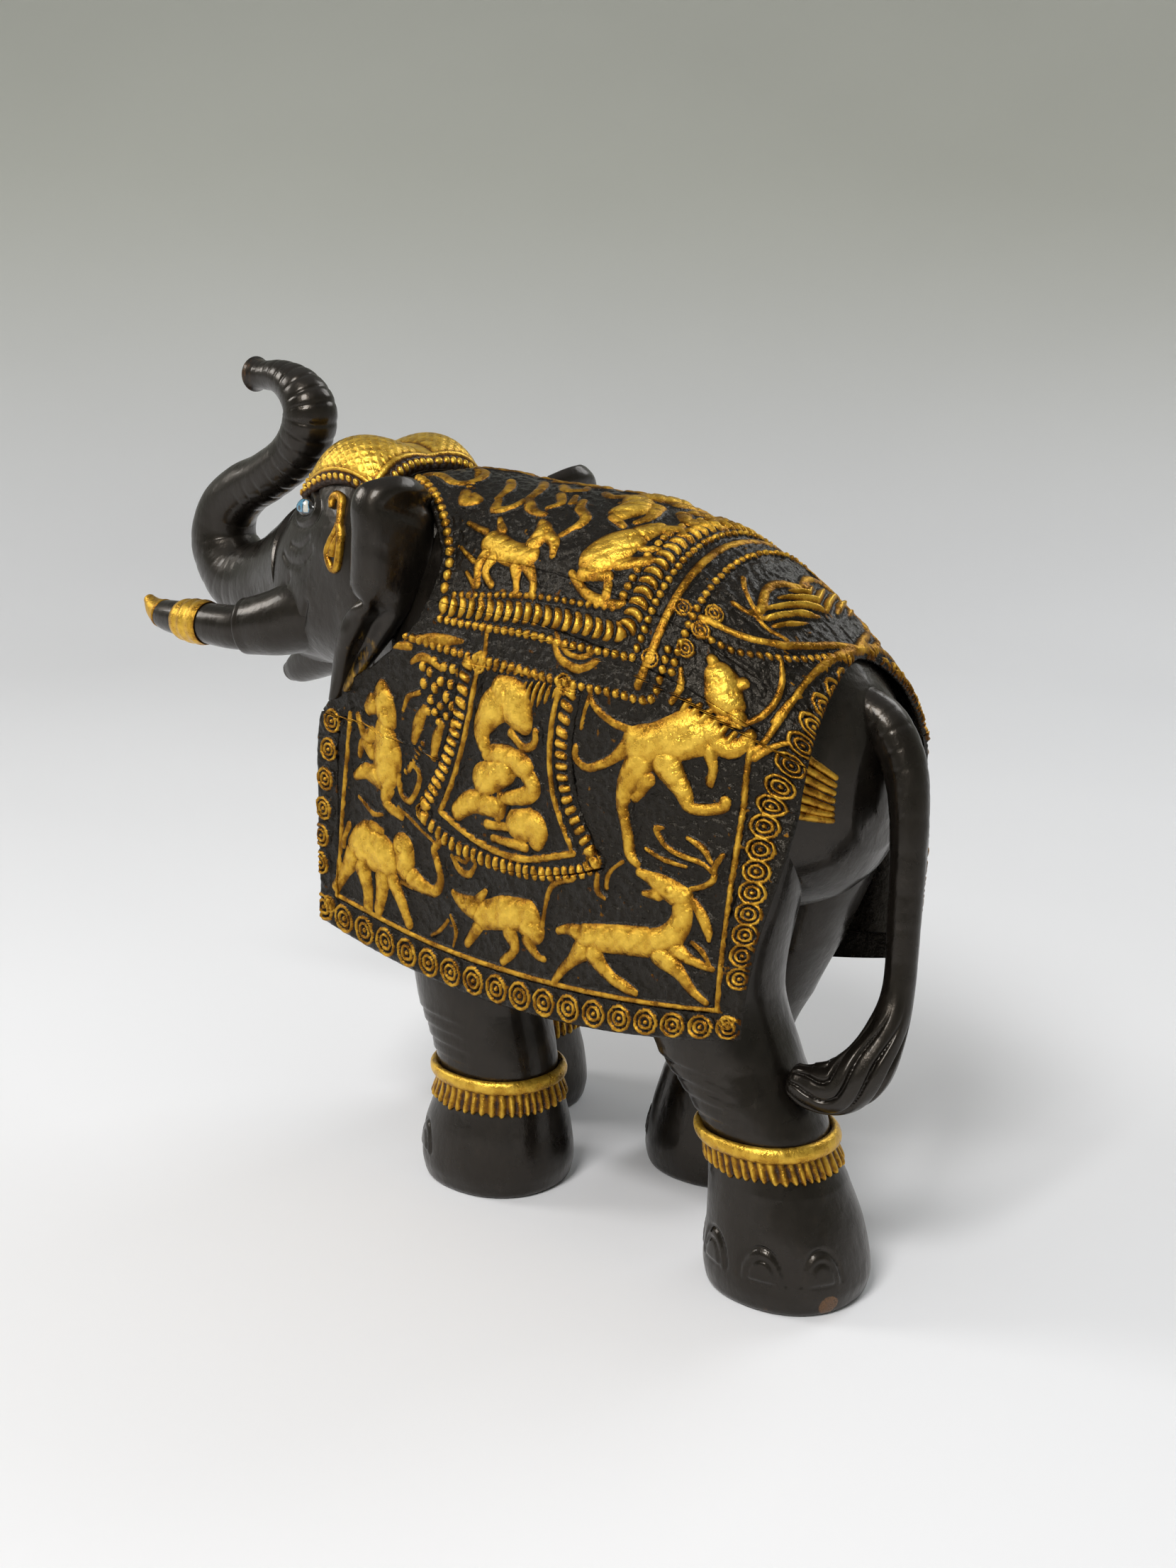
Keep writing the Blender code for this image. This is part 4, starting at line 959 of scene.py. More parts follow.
def under_niche(along, down, height, gilt):
    """Sinks the flank under the niche plaque, so that the plaque lies in a bed of its own shape."""
    left = np.interp(down, NICHE_LEFT[:, 2], NICHE_LEFT[:, 1])
    right = np.interp(down, NICHE_RIGHT[:, 2], NICHE_RIGHT[:, 1])
    middle = np.clip((along - left) / (right - left), 0, 1)
    bottom = 198 + NICHE_SAG * 4 * middle * (1 - middle)
    inside = np.minimum(np.minimum(along - left, right - along),
                        np.minimum(down - 123, bottom - down))
    sunk = smooth(0.4, 1.6, inside)
    return height * (1 - sunk) - 1.6 * sunk, gilt * (1 - sunk)


def flank(side, word):
    """The panel inside the border, whose sides step outwards above the border's two ends."""
    rows = int((1 - INSET_V - BAND_SHARE) * WIDTH_MM / FINE)
    v = np.linspace(BAND_SHARE + 0.0004, 1 - INSET_V, rows)[:, None]
    columns = int(262 / FINE)
    start = U_START + (INSET_U - U_START) * smooth(0.597, 0.603, v)
    end = U_END - (INSET_U - U_START) * smooth(0.377, 0.383, v)
    u = start + (end - start) * np.linspace(0, 1, columns)[None, :]
    v = np.broadcast_to(v, u.shape)
    cloth_piece(word + "_flank_carving", u, v, side, word + "_flank_cloth",
                under_niche)


def band(side, word):
    """The scroll band between saddle and flank, an even grid of u and v."""
    rows = int((BAND_SHARE - SADDLE_SHARE) * WIDTH_MM / FINE * 1.1)
    v = np.linspace(SADDLE_SHARE + 0.0003, BAND_SHARE, rows)[:, None]
    u = np.linspace(U_START, U_END, int(230 / FINE * 1.1))[None, :]
    u, v = np.broadcast_arrays(u, v)
    cloth_piece(word + "_band_carving", u, v, side, word + "_scroll_band")


def saddle():
    """The saddle cloth: an even grid over the left half of the back, with its mirror image joined
    on at the ridge."""
    v = np.linspace(0, SADDLE_SHARE, int(SADDLE_SHARE * WIDTH_MM / FINE))[:, None]
    u = np.linspace(U_START, U_END, int(250 / FINE))[None, :]
    upper, lower, height, gilt = cloth_pair(*(np.array(a) for a in np.broadcast_arrays(u, v)), 1)
    upper, lower = (np.concatenate([on_side(face, -1)[:0:-1], face]) for face in (upper, lower))
    height, gilt = (np.concatenate([values[:0:-1], values]) for values in (height, gilt))
    # painted light: brighter painted highlight on high carving, painted shade on low carving and in
    # the hollows
    values = {"gilt": gilt, "light": np.clip(height / FULL_LIGHT_MM, 0, 1)}
    piece = sheet("saddle_carving", upper, lower, CLOTH_FINISH, values, flip=True)
    stand_for(piece, "saddle_cloth")


def border(side, word):
    """The rosette border: an outer and an inner line in (u, v), joined straight across. Both have
    as many points on each of their three sides."""
    inner_u, foot = INSET_U - 0.0006, 1 - (INSET_V + 0.0006)
    outer_marks = np.array([(U_START, 0.600), (U_START, 0.9995), (U_END, 0.9995), (U_END, 0.3805)])
    inner_marks = np.array([(inner_u, 0.603), (inner_u, foot),
                            (1 - inner_u, foot), (1 - inner_u, 0.3835)])
    spans = np.hypot(*(np.diff(outer_marks, axis=0) * (LENGTH_MM, WIDTH_MM)).T)

    def walk(marks):
        sides = [np.linspace(a, b, max(2, int(span / FINE)), endpoint=False)
                 for a, b, span in zip(marks[:-1], marks[1:], spans)]
        return np.concatenate(sides + [marks[-1:]])

    inner, outer = walk(inner_marks), walk(outer_marks)
    grid = inner[None] + (outer - inner)[None] * np.linspace(0, 1, int(17 / FINE))[:, None, None]
    cloth_piece(word + "_rosette_border", grid[..., 0], grid[..., 1], side,
                word + "_border", extra=0.0005)


def niche(side, word):
    """The niche: a patch between two bent side lines, whose foot sags as a parabola, and whose edge
    is rounded."""
    rows, columns = int(92 / FINE), int(100 / FINE)
    s = np.linspace(0, 1, rows)[:, None]
    w = np.linspace(0, 1, columns)[None, :]
    left, right = blend(NICHE_LEFT, s), blend(NICHE_RIGHT, s)
    along = left[..., 0] * (1 - w) + right[..., 0] * w
    down = left[..., 1] * (1 - w) + right[..., 1] * w + NICHE_SAG * s ** 3 * 4 * w * (1 - w)
    v = down / WIDTH_MM
    front, rear = blend(FRONT_EDGE, v)[..., 0], blend(REAR_EDGE, v)[..., 0]
    u = (along / 1000 - front) / (rear - front)

    def level(a, d, height, gilt):
        edge = np.minimum(np.minimum(w, 1 - w) * 95, np.minimum(s, 1 - s) * 90)
        return (height + 1.0) * np.sqrt(np.clip(edge / 1.4, 0.04, 1)) - 1.0, gilt

    cloth_piece(word + "_niche_carving", u, v, side, word + "_niche",
                level, 0.0004, 0.0014)


for side, word in ((1, "left"), (-1, "right")):
    flank(side, word)
    band(side, word)
    border(side, word)
    niche(side, word)
saddle()


# ---------------------------------------------------------------- body, head and trunk

def section(rows, y, angle):
    """A cross-section's point, turned from the top: a superellipse with its own half width, rise
    and drop."""
    values = blend(rows, y)
    centre_z, half, rise, drop, square = (values[..., k] for k in range(5))
    tall = np.where(np.cos(angle) > 0, rise, drop)
    x = half * signed_power(np.sin(angle), square)
    z = centre_z + tall * signed_power(np.cos(angle), square)
    x, z, y = np.broadcast_arrays(x, z, y)
    return np.stack([x, y, z], -1)


def skin_normal(points):
    """Outward normals of rings of points: away from the middle of each ring."""
    normal = grid_normals(points, wrap_columns=True)
    outward = points - points.mean(1, keepdims=True)
    sign = np.sign((normal * outward).sum(-1).mean())
    return normal * sign


def body():
    """The body: cross-sections that crowd towards the rump, with shallow sine folds under the
    belly."""
    y = (BODY_FRONT + (BODY_END - BODY_FRONT) * (1 - (1 - np.linspace(0, 1, 180)) ** 1.7))[:, None]
    angle = full_turn(180)[None, :]
    points = section(BODY, y, angle)
    below = 1 - smooth(-0.2, 0.5, np.cos(angle)) + 0 * y
    sag = 0.0015 * np.sin(6.0 * angle + y * 60) * hump(y, 0.02, 0.06) * below
    points = points + skin_normal(points) * np.minimum(sag, 0)[..., None]
    stand_for(closed_loft("body_skin", points, SKIN), "body")


EYE_Y, EYE_Z = -0.199, 0.357
CHEEK_FURROWS = [                       # (y, z) marks in millimetres, width, depth
    ([(-188, 341), (-197, 335), (-208, 336)], 1.1, 0.9),
    ([(-184, 335), (-193, 327), (-208, 326), (-216, 330)], 1.2, 1.0),
    ([(-238, 300), (-226, 302), (-214, 309), (-206, 318)], 1.3, 1.1),
    ([(-240, 276), (-225, 277), (-208, 282), (-194, 292), (-187, 305)], 1.5, 1.6),
]


def head():
    """The head: cross-sections moved out by bells for cheek, brow, lids and jaw, and in by
    furrows."""
    y = np.concatenate([np.linspace(-0.2525, -0.150, 170), np.linspace(-0.1495, -0.1353, 14)])
    y = y[:, None]
    angle = full_turn(260)[None, :]
    points = section(HEAD, y, angle)
    normal = skin_normal(points)
    py, pz = points[..., 1], points[..., 2]
    side = smooth(0.45, 0.8, np.abs(points[..., 0]) / 0.050)
    lump = np.zeros(side.shape)
    lump += 3.6 * hump(py, -0.196, 0.022) * hump(pz, 0.300, 0.024)         # cheek
    lump += 2.6 * hump(py, -0.2015, 0.013) * hump(pz, 0.3725, 0.0055)      # brow
    lump -= 1.2 * hump(py, EYE_Y, 0.0125) * hump(pz, EYE_Z, 0.0080)        # eye hollow
    lump += 1.6 * hump(py, -0.166, 0.014) * hump(pz, 0.335, 0.022)         # jaw in front of the ear
    eye = np.hypot((py - EYE_Y) / 0.0128, (pz - EYE_Z) / 0.0078)
    lump += 1.5 * hump(eye, 1.0, 0.16)                                      # lids
    lump -= 0.9 * hump(eye, 1.38, 0.12)
    for path, width, depth in CHEEK_FURROWS:
        lump -= depth * hump(follow(py * 1000, pz * 1000, bent(path))[0], 0, width)
    socket = np.hypot((py + 0.213) / 0.016, (pz - 0.291) / 0.016)
    lump += 2.2 * hump(socket, 1.0, 0.25)
    points = points + normal * (lump * side / 1000)[..., None]
    wear = 0.25 * hump(eye, 1.0, 0.2) * side
    stand_for(closed_loft("head_skin", points, SKIN, {"wear": wear}), "head")


TRUNK_PATH = [
    (0, -.2280, .3130, .0450), (0, -.2460, .3085, .0385), (0, -.266, .3040, .0325),
    (0, -.288, .302, .0275), (0, -.309, .3065, .0238), (0, -.3245, .325, .0208),
    (0, -.3205, .345, .0185), (0, -.304, .359, .0165), (0, -.283, .368, .0152),
    (0, -.261, .380, .0150), (0, -.247, .394, .0160), (0, -.2435, .409, .0160),
    (0, -.252, .4205, .0138), (0, -.267, .4275, .0104), (0, -.281, .4285, .0088),
    (0, -.2905, .4290, .0096)
]
TAIL_PATH = [
    (0, .134, .2830, .0120), (0, .143, .2810, .0118), (0, .156, .2740, .0118),
    (.002, .168, .257, .0108), (.007, .175, .232, .0094), (.014, .179, .190, .0082),
    (.021, .182, .155, .0078), (.029, .181, .135, .0100), (.037, .176, .118, .0130),
    (.043, .166, .108, .0135), (.048, .154, .106, .0115), (.051, .146, .108, .0085)
]
LIP_PATH = [
    (0, -.205, .276, .0165), (0, -.228, .268, .0150), (0, -.245, .260, .0125),
    (0, -.256, .2545, .0100), (0, -.263, .2515, .0070)
]
TUSK_PATH = [
    (.036, -.200, .293, .0135), (.048, -.228, .287, .0135), (.055, -.250, .285, .0130),
    (.058, -.274, .2855, .0120), (.059, -.295, .286, .0105), (.059, -.310, .287, .0090),
    (.0592, -.319, .290, .0065), (.0592, -.325, .2945, .0035)
]


def tube(path, sides, steps, swell=None):
    """Rings square to a bent path through (x, y, z, radius): centre + radius * swell * (cos a
    across + sin a along)."""
    share = np.linspace(0, len(path) - 1, steps)
    curve = through(path, share)
    centre, radius = curve[:, :3], curve[:, 3:]
    forward = unit(np.gradient(centre, axis=0))
    across = unit(np.array([1.0, 0, 0]) - forward * forward[:, :1])
    along = np.cross(forward, across)
    angle = full_turn(sides)
    factor = np.ones((steps, sides)) if swell is None else swell(share[:, None], angle[None, :])
    ring = np.cos(angle)[:, None] * across[:, None] + np.sin(angle)[:, None] * along[:, None]
    return centre[:, None] + (radius * factor)[..., None] * ring


def run_on(rings, width, reach, back=2):
    """Adds rings past the last one, each scaled by a width and moved on by a reach, along the line
    of the last centres."""
    tip = rings[-1].mean(0)
    forward = unit(tip - rings[-back].mean(0))
    more = tip + (rings[-1] - tip)[None] * width[:, None, None] + forward * reach[:, None, None]
    return np.concatenate([rings, more])


def round_end(rings, count, reach):
    """Adds rings past the last one that shrink as a quarter circle, so that the end is a dome."""
    t = np.linspace(0, np.pi / 2, count + 1)[1:-1]
    return run_on(rings, np.cos(t), reach * np.sin(t))


def trunk():
    """Ring folds: the radius dips in narrow furrows, closer together towards the tip and deepest
    behind."""
    def folds(share, angle):
        pitch = 0.42
        uneven = 0.35 * lattice_noise(share * 2, angle * 0 + 3.5, 5)
        phase = share / pitch + 0.05 * np.sin(2 * angle) + uneven
        furrow = hump((phase % 1.0) - 0.5, 0, 0.15)
        behind = smooth(-0.2, 0.9, np.sin(angle + 0.5 * np.sin(angle)))
        depth = 0.045 * smooth(6.5, 9.0, share) * (0.12 + 0.88 * behind)
        depth = depth * (1 - 0.7 * smooth(12.5, 14.5, share))
        depth = depth + 0.020 * hump(share, 4.2, 1.3) * (0.5 - 0.5 * np.sin(angle))
        mouth = 0.13 * hump(share, 15.0, 0.28)
        flat = 0.03 * np.cos(2 * angle) * smooth(12, 15, share)
        return 1 - depth * furrow + mouth + flat
    rings = tube(TRUNK_PATH, 140, 520, folds)
    tip = rings[-1].mean(0)
    # the mouth of the trunk: a lip that turns in to a shallow hollow
    depth = np.array([0.0010, 0.0013, 0.0008, -0.0010, -0.0030, -0.0036])
    width = np.array([0.95, 0.86, 0.74, 0.62, 0.52, 0.25])
    rings = run_on(rings, width, depth, 4)
    wear = 0.40 * smooth(0.012, 0.0, np.abs(np.linalg.norm(rings - tip, axis=-1) - 0.010))
    stand_for(closed_loft("trunk_skin", rings, SKIN, {"wear": wear}), "trunk")


def lower_lip():
    def crease(share, angle):
        return 1 - 0.10 * hump(np.sin(angle), 1.0, 0.25) * smooth(0.5, 2.0, share)
    rings = round_end(tube(LIP_PATH, 64, 120, crease), 8, 0.005)
    stand_for(closed_loft("lower_lip_skin", rings, SKIN), "lower_lip")


def tail():
    """The tuft swells past the thin middle, and lengthwise furrows cut its radius into locks of
    hair."""
    def locks(share, angle):
        tuft = smooth(6.2, 7.6, share)
        wave = np.abs(np.sin(4.0 * angle + 1.1 * np.sin(share * 2.2)))
        furrow = 1 - (1 - wave) ** 3 * 0.26 * tuft
        ringed = smooth(1.0, 2.0, share) * (1 - smooth(5.0, 6.2, share))
        return furrow * (1 - 0.014 * hump((share * 2.4) % 1.0, 0.5, 0.14) * ringed)
    rings = round_end(tube(TAIL_PATH, 120, 420, locks), 8, 0.004)
    share = np.linspace(0, 11, 420)
    wear = np.repeat(0.28 * smooth(6.5, 8.0, share)[:, None], 120, 1)
    wear = np.concatenate([wear, np.full((7, 120), 0.3)])
    stand_for(closed_loft("tail_skin", rings, SKIN, {"wear": wear}), "tail")


UNDER_BAND = 0.00015         # gap between a gold band and what it lies on


def tusk(side, word):
    """A tapering tusk along its path, with a ribbed gold collar and a gold tip."""
    rings = on_side(tube(TUSK_PATH, 72, 200), side)
    cut = 148                # the row where the shaft ends and the tip begins
    shaft = closed_loft(word + "_tusk_shaft", rings[:cut], SKIN)
    stand_for(shaft, word + "_tusk")
    centre = rings.mean(1, keepdims=True)
    grow = 1.0 + 0.030 * hump(np.arange(200 - cut), 3, 3)[:, None, None]
    cap_rings = round_end(centre[cut:] + (rings[cut:] - centre[cut:]) * (grow + 0.03), 8, 0.0030)
    # painted light on the gold tip, with painted shade over its first six rows next to the black
    # shaft
    light = np.full(cap_rings.shape[:2], 0.72)
    light[:6] *= 0.7
    piece = closed_loft(word + "_tusk_tip", cap_rings, GOLD, {"light": light})
    stand_for(piece, word + "_tusk_cap")
    at = np.arange(82, 113)
    t = np.linspace(-1, 1, len(at))
    ribs = 0.0007 + 0.0014 * dome(t) * (0.72 + 0.28 * np.cos(3 * np.pi * t))
    outward = unit(rings[at] - centre[at])
    outer = rings[at] + outward * ribs[:, None, None]
    inner = rings[at] + outward * UNDER_BAND
    loop = np.concatenate([outer, inner[::-1]])
    # painted highlight along the middle of the collar's bulge; the inner face gets full painted
    # shade
    light = np.repeat((0.45 + 0.4 * dome(t))[:, None], 72, 1)
    light = np.concatenate([light, np.zeros((len(at), 72))])
    piece = closed_ring(word + "_tusk_collar", loop, GOLD, {"light": light})
    stand_for(piece, word + "_tusk_band")


def eye(side, word):
    """An almond eye: an ellipsoid. A blue iris with a black pupil sits at the front, a white corner
    behind it, and the lower third is black."""
    across = np.linspace(0, np.pi, 40)[1:-1, None]
    turn = full_turn(72)[None, :]
    out = np.cos(across) + 0 * turn
    py, pz = np.sin(across) * np.cos(turn), np.sin(across) * np.sin(turn)
    almond = 1 - 0.30 * np.abs(py) ** 2
    turned = 0.0016 * py                      # the ball faces a little forwards
    points = np.stack([side * (0.0430 + 0.0048 * out + turned), EYE_Y + 0.0100 * py,
                       EYE_Z + 0.0060 * pz * almond], -1)
    pupil = np.hypot((py + 0.28) * 0.0100, pz * 0.0060 * almond)
    rim = np.hypot(py, pz)
    clear = (1 - smooth(0.80, 0.86, rim)) * smooth(-0.42, -0.30, pz)
    corner = smooth(0.10, 0.15, py) * (1 - smooth(0.58, 0.64, py + 0.25 * np.abs(pz))) * clear
    iris = (1 - smooth(0.02, 0.07, py)) * smooth(0.0013, 0.0016, pupil) * clear
    white = np.maximum(corner, 0.5 * iris)
    stand_for(closed_loft(word + "_eye_ball", points, EYE, {"white": white}), word + "_eye")


# ---------------------------------------------------------------- ears

EAR_ROOT = np.array([
    (.040, -.108, .370), (.050, -.094, .357), (.056, -.090, .340), (.063, -.094, .318),
    (.066, -.108, .298), (.078, -.128, .270)
])
EAR_RIM = np.array([
    (.076, -.092, .386), (.090, -.102, .370), (.092, -.103, .350), (.0915, -.108, .322),
    (.0895, -.126, .298), (.086, -.137, .261)
])


def ear(side, word):
    """An ear: straight rows from a root line to a rim line, bulged backwards by a half sine. The
    upper rim is rolled forwards as a thick bead, and towards the tip the sheet waves once and a
    half between root and rim."""
    rows, columns = 150, 80
    k = np.linspace(0, 5, rows)[:, None]
    t = np.linspace(0, 1, columns)[None, :]
    both = through(np.column_stack([EAR_ROOT, EAR_RIM]), k)
    root, rim = both[..., :3], both[..., 3:]
    across = unit(rim - root)
    normal = unit(np.cross(across, np.array([0, 0, -1.0])))
    normal *= np.sign(normal[..., 1:2])
    tip = np.clip(k / 0.55, 0, 1)
    length = np.linalg.norm(rim - root, axis=-1) * (0.35 + 0.65 * np.sqrt(1 - (1 - tip) ** 2))
    fold = smooth(0.0, 0.8, k) * (1 - smooth(2.9, 3.5, k))
    turn_radius = 0.0072 * fold
    bend = np.clip((t - 0.55) / 0.45, 0, 1) * np.radians(125)
    folded_out = np.where(t < 0.55, t / 0.55 * (length - turn_radius), length - turn_radius
                          + turn_radius * np.sin(bend))
    out = length * t * (1 - fold) + folded_out * fold
    forward = turn_radius * (1 - np.cos(bend)) * 1.15
    middle = root + across * out[..., None] - normal * forward[..., None]
    low = smooth(2.6, 3.6, k)
    lobes = 0.0030 * low * np.sin(3 * np.pi * t) * (1 - 0.6 * smooth(4.3, 5.0, k))
    wave = 0.0040 * np.sin(np.pi * t) + lobes
    wave = wave - 0.0018 * low * np.cos(k * 7.0) * t
    notch = 0.005 * hump(k, 3.15, 0.16) * smooth(0.6, 1.0, t)
    middle = middle + normal * wave[..., None] - across * notch[..., None]
    middle[..., 2] -= 0.011 * (1 - t) ** 1.2 * (1 - smooth(0.0, 1.1, k))
    facing = grid_normals(middle)
    facing *= np.sign((facing[:, 5] * normal[:, 0]).sum(-1).mean())
    half = 0.0025 * (1 - 0.45 * t ** 3) * (1 - fold) + 0.0030 * fold
    roll = fold * smooth(0.5, 0.7, t)
    veins = 0.0004 * hump(np.sin(k * 6 + t * 2.2), 1.0, 0.3) * smooth(0.1, 0.4, t) * (1 - roll)
    end = np.sqrt(np.clip(1 - (2 * t - 1) ** 10, 0.03, 1))
    thick = facing * ((half - veins) * end)[..., None]
    rings = on_side(np.concatenate([middle + thick, (middle - thick)[:, ::-1]], axis=1), side)
    gilt_back = 0.42 * smooth(3.2, 4.4, k) * (1 - 0.6 * t) + 0.12 * smooth(2.2, 3.2, k) + 0 * t
    gilt_back = gilt_back * smooth(0.02, 0.2, t)
    gilt = np.concatenate([gilt_back, 0.05 + 0 * gilt_back], axis=1)
    rims = 0.30 * smooth(0.9, 1.0, t), 0.25 * smooth(0.1, 0.0, t)
    wear = np.concatenate([rim + 0 * k for rim in rims], axis=1)
    piece = closed_loft(word + "_ear_skin", rings, SKIN, {"gilt": gilt, "wear": wear})
    stand_for(piece, word + "_ear")


# ---------------------------------------------------------------- legs and anklets

LEG_POWER = 0.92             # of the superellipse round a leg
REAR_NAILS = (-2.05, -1.27, -0.50, 0.24, 1.02)     # angles round the foot
FRONT_NAILS = (-2.6, -1.95, -1.3, -0.65)


def leg_ring(rows, z, offset, angle):
    """Points round a leg: its superellipse at height z, moved out by an offset."""
    values = blend(rows, z)
    x = values[..., 0] + (values[..., 2] + offset) * signed_power(np.cos(angle), LEG_POWER)
    y = values[..., 1] + (values[..., 3] + offset) * signed_power(np.sin(angle), LEG_POWER)
    return np.stack(np.broadcast_arrays(x, y, z + 0 * angle), -1)


def leg(name, rows):
    """A leg from sole to hip. Nails are two arches cut one inside the other, set round the front of
    the foot; four curved furrows lie above the ankle ring."""
    ring_z = ANKLETS[name][0]
    z = np.concatenate([np.linspace(0.0, 0.060, 90), np.linspace(0.0612, rows[-1][0], 130)])
    z = z[:, None]
    angle = full_turn(200)[None, :]
    points = leg_ring(rows, z, 0.0, angle)
    normal = skin_normal(points)
    outward = 1.0 if "left" in name else -1.0
    dent = np.zeros(points.shape[:2])
    # rounded sole
    dent -= 2.2 * (1 - np.sqrt(np.clip(1 - (1 - np.clip(z / 0.004, 0, 1)) ** 2, 0, 1)))
    facing = angle if outward > 0 else np.pi - angle
    for middle in REAR_NAILS if name.startswith("rear") else FRONT_NAILS:
        turn = (facing - middle + np.pi) % (2 * np.pi) - np.pi
        arc, high = turn * 39.0, z * 1000 - 17.0
        reach = np.hypot(arc / 11.0, high / 16.0)
        above = smooth(-2.0, 0.5, high)
        dent += above * (0.9 * (1 - smooth(0.70, 0.95, reach)) - 1.3 * hump(reach, 1.0, 0.06)
                         - 1.0 * hump(reach, 0.66, 0.07))
        dent -= 0.8 * hump(high, -0.5, 1.0) * (1 - smooth(0.5, 0.7, np.abs(arc) / 11.0))
    for k in range(4):
        turn = (facing + 0.35 + np.pi) % (2 * np.pi) - np.pi
        lift = ring_z + 0.010 + 0.0075 * k - 0.006 * turn ** 2
        gap = (z - lift) * 1000
        furrow = 0.9 * hump(gap, 0, 0.8) - 0.4 * hump(gap, 2.4, 1.6)
        dent -= furrow * (1 - smooth(0.35, 0.85, np.abs(turn)))
    points = points + normal * (dent / 1000)[..., None]
    wear = 0.35 * hump(z, 0.0, 0.006) + 0 * angle
    if name == "rear_left":
        chip = np.hypot((angle - 1.1) * 39, (z * 1000 - 6))
        wear = np.maximum(wear, 1.1 * (1 - smooth(3.5, 7.0, chip)))
    piece = closed_loft(name + "_leg_skin", points, SKIN, {"wear": wear})
    stand_for(piece, name + "_leg")


def anklet(name, rows):
    """An ankle ring of round section, and a fringe below it: a thin band whose foot hangs in uneven
    scallops."""
    ring_z, fringe_z = ANKLETS[name]
    turn = full_turn(22)
    offset = (0.0022 + 0.0026 * np.cos(turn))[:, None]
    height = (ring_z + 0.0038 * np.sin(turn))[:, None]
    ring = leg_ring(rows, height, offset, full_turn(160)[None, :])
    # painted light: painted highlight on the outer, upper side of the ring's section, painted shade
    # on its inner, lower side
    light = np.repeat((0.55 + 0.35 * np.cos(turn - 0.6))[:, None], 160, 1)
    piece = closed_ring(name + "_ankle_ring", ring, GOLD, {"light": light})
    stand_for(piece, name + "_anklet")
    share = np.linspace(0, 1, 16)[:, None]
    around = full_turn(440)[None, :]
    strand = 0.5 + 0.5 * np.cos(44 * around + 1.5 * np.sin(5 * around))
    uneven = lattice_noise(around * 6.0, 0 * around + 2.5, 21)
    top, foot = ring_z - 0.0030, fringe_z + 0.0035 * uneven + 0.0016 * (1 - strand)
    height = top + (foot - top) * share
    ripples = 0.0011 + 0.0016 * strand * (0.4 + 0.6 * share) + 0.0004 * np.sin(np.pi * share)
    ripples = ripples * np.sqrt(np.clip(1 - share ** 8, 0.05, 1))
    outer = leg_ring(rows, height, ripples, around)
    inner = leg_ring(rows, height, 0 * ripples + 0.00012, around)
    # partly painted light: painted highlight on the raised strands and painted shade in the grooves
    # between them, times a random uneven tone; the inner face gets full painted shade
    light = (0.10 + 0.75 * strand) * (0.75 + 0.25 * uneven) + 0 * share
    loop, lights = np.concatenate([outer, inner[::-1]]), np.concatenate([light, 0 * light])
    piece = closed_ring(name + "_ankle_fringe", loop, GOLD, {"light": lights})
    stand_for(piece, name + "_fringe")


# ---------------------------------------------------------------- headdress and small trappings

CAP_ANGLE = math.radians(46)
CAP_FRONT, CAP_REAR = -0.2055, -0.1415
CAP_RADIUS_MM = 66.0         # turns the angle over the cap into millimetres


def scales(a, b, pitch):
    """Overlapping round scales: discs on staggered rows, each one lower towards the row above and
    cut at its rim."""
    best = np.full(a.shape, -1.0)
    half = pitch * 0.5
    for shift in (1, 0, -1):
        row = np.floor(b / half) + shift
        middle_b = row * half
        stagger = 0.5 * (row % 2)
        middle_a = (np.round(a / pitch - stagger) + stagger) * pitch
        reach = np.hypot(a - middle_a, b - middle_b) / (pitch * 0.62)
        inside = (reach < 1) & (best < 0)
        best = np.where(inside, (0.45 + 0.55 * reach) * (1 - smooth(0.86, 1.0, reach)), best)
    return np.clip(best, 0, 1)


def headdress():
    """The gold cap: the forehead's section with a dome on each side, raised by sines; scales cover
    the domes, a row of beads runs along each edge, and a plain ridge follows the middle."""
    y = np.linspace(CAP_FRONT, CAP_REAR, 130)[:, None]
    angle = np.linspace(-CAP_ANGLE, CAP_ANGLE, 240)[None, :]
    base = section(HEAD, y, angle)
    normal = grid_normals(base)
    normal *= np.sign(normal[..., 2:])
    rise = np.sin(np.pi * (y + 0.208) / 0.069) * np.sin(np.pi * np.abs(angle) / CAP_ANGLE)
    a, b = np.broadcast_arrays(np.abs(angle) * CAP_RADIUS_MM, (y + 0.1735) * 1000)
    edge_side = (CAP_ANGLE - np.abs(angle)) * CAP_RADIUS_MM + 0 * y
    edge_front, edge_rear = (y - CAP_FRONT) * 1000 + 0 * angle, (CAP_REAR - y) * 1000 + 0 * angle
    edge = np.minimum(np.minimum(edge_front, edge_rear), edge_side)
    along_edge = np.where(edge == edge_side, b, a)
    beading = 2.6 * dome(np.hypot(((along_edge / 4.8) % 1.0 - 0.5) * 4.8, edge - 2.6) / 2.0)
    trim = 1.5 * dome((edge - 6.6) / 1.3)
    field = 1.5 * scales(a - 24, b, 5.2) * smooth(7.4, 8.6, edge) * smooth(3.0, 5.0, a)
    ridge = 1.3 * dome(a / 2.6) * smooth(4, 7, edge)
    detail = np.maximum(np.maximum(beading, trim), np.maximum(field, ridge))
    rim = np.sqrt(np.clip(edge / 0.8, 0, 1))
    thickness = 0.0012 + 0.0020 * rim + 0.0097 * np.maximum(rise, 0) + detail / 1000
    upper = base + normal * thickness[..., None]
    lower = base + normal * 0.0004
    # painted light: higher beads, trim, scales and ridge get a brighter painted highlight, the
    # beaded edge band gets painted shade, and the inner field is a little brighter
    light = np.clip(detail / 1.5 - 0.30 * (edge < 6), -0.3, 1) + 0.25 * smooth(7.0, 9.0, edge)
    piece = sheet("headdress_cap", upper, lower, GOLD, {"light": light})
    stand_for(piece, "headdress")


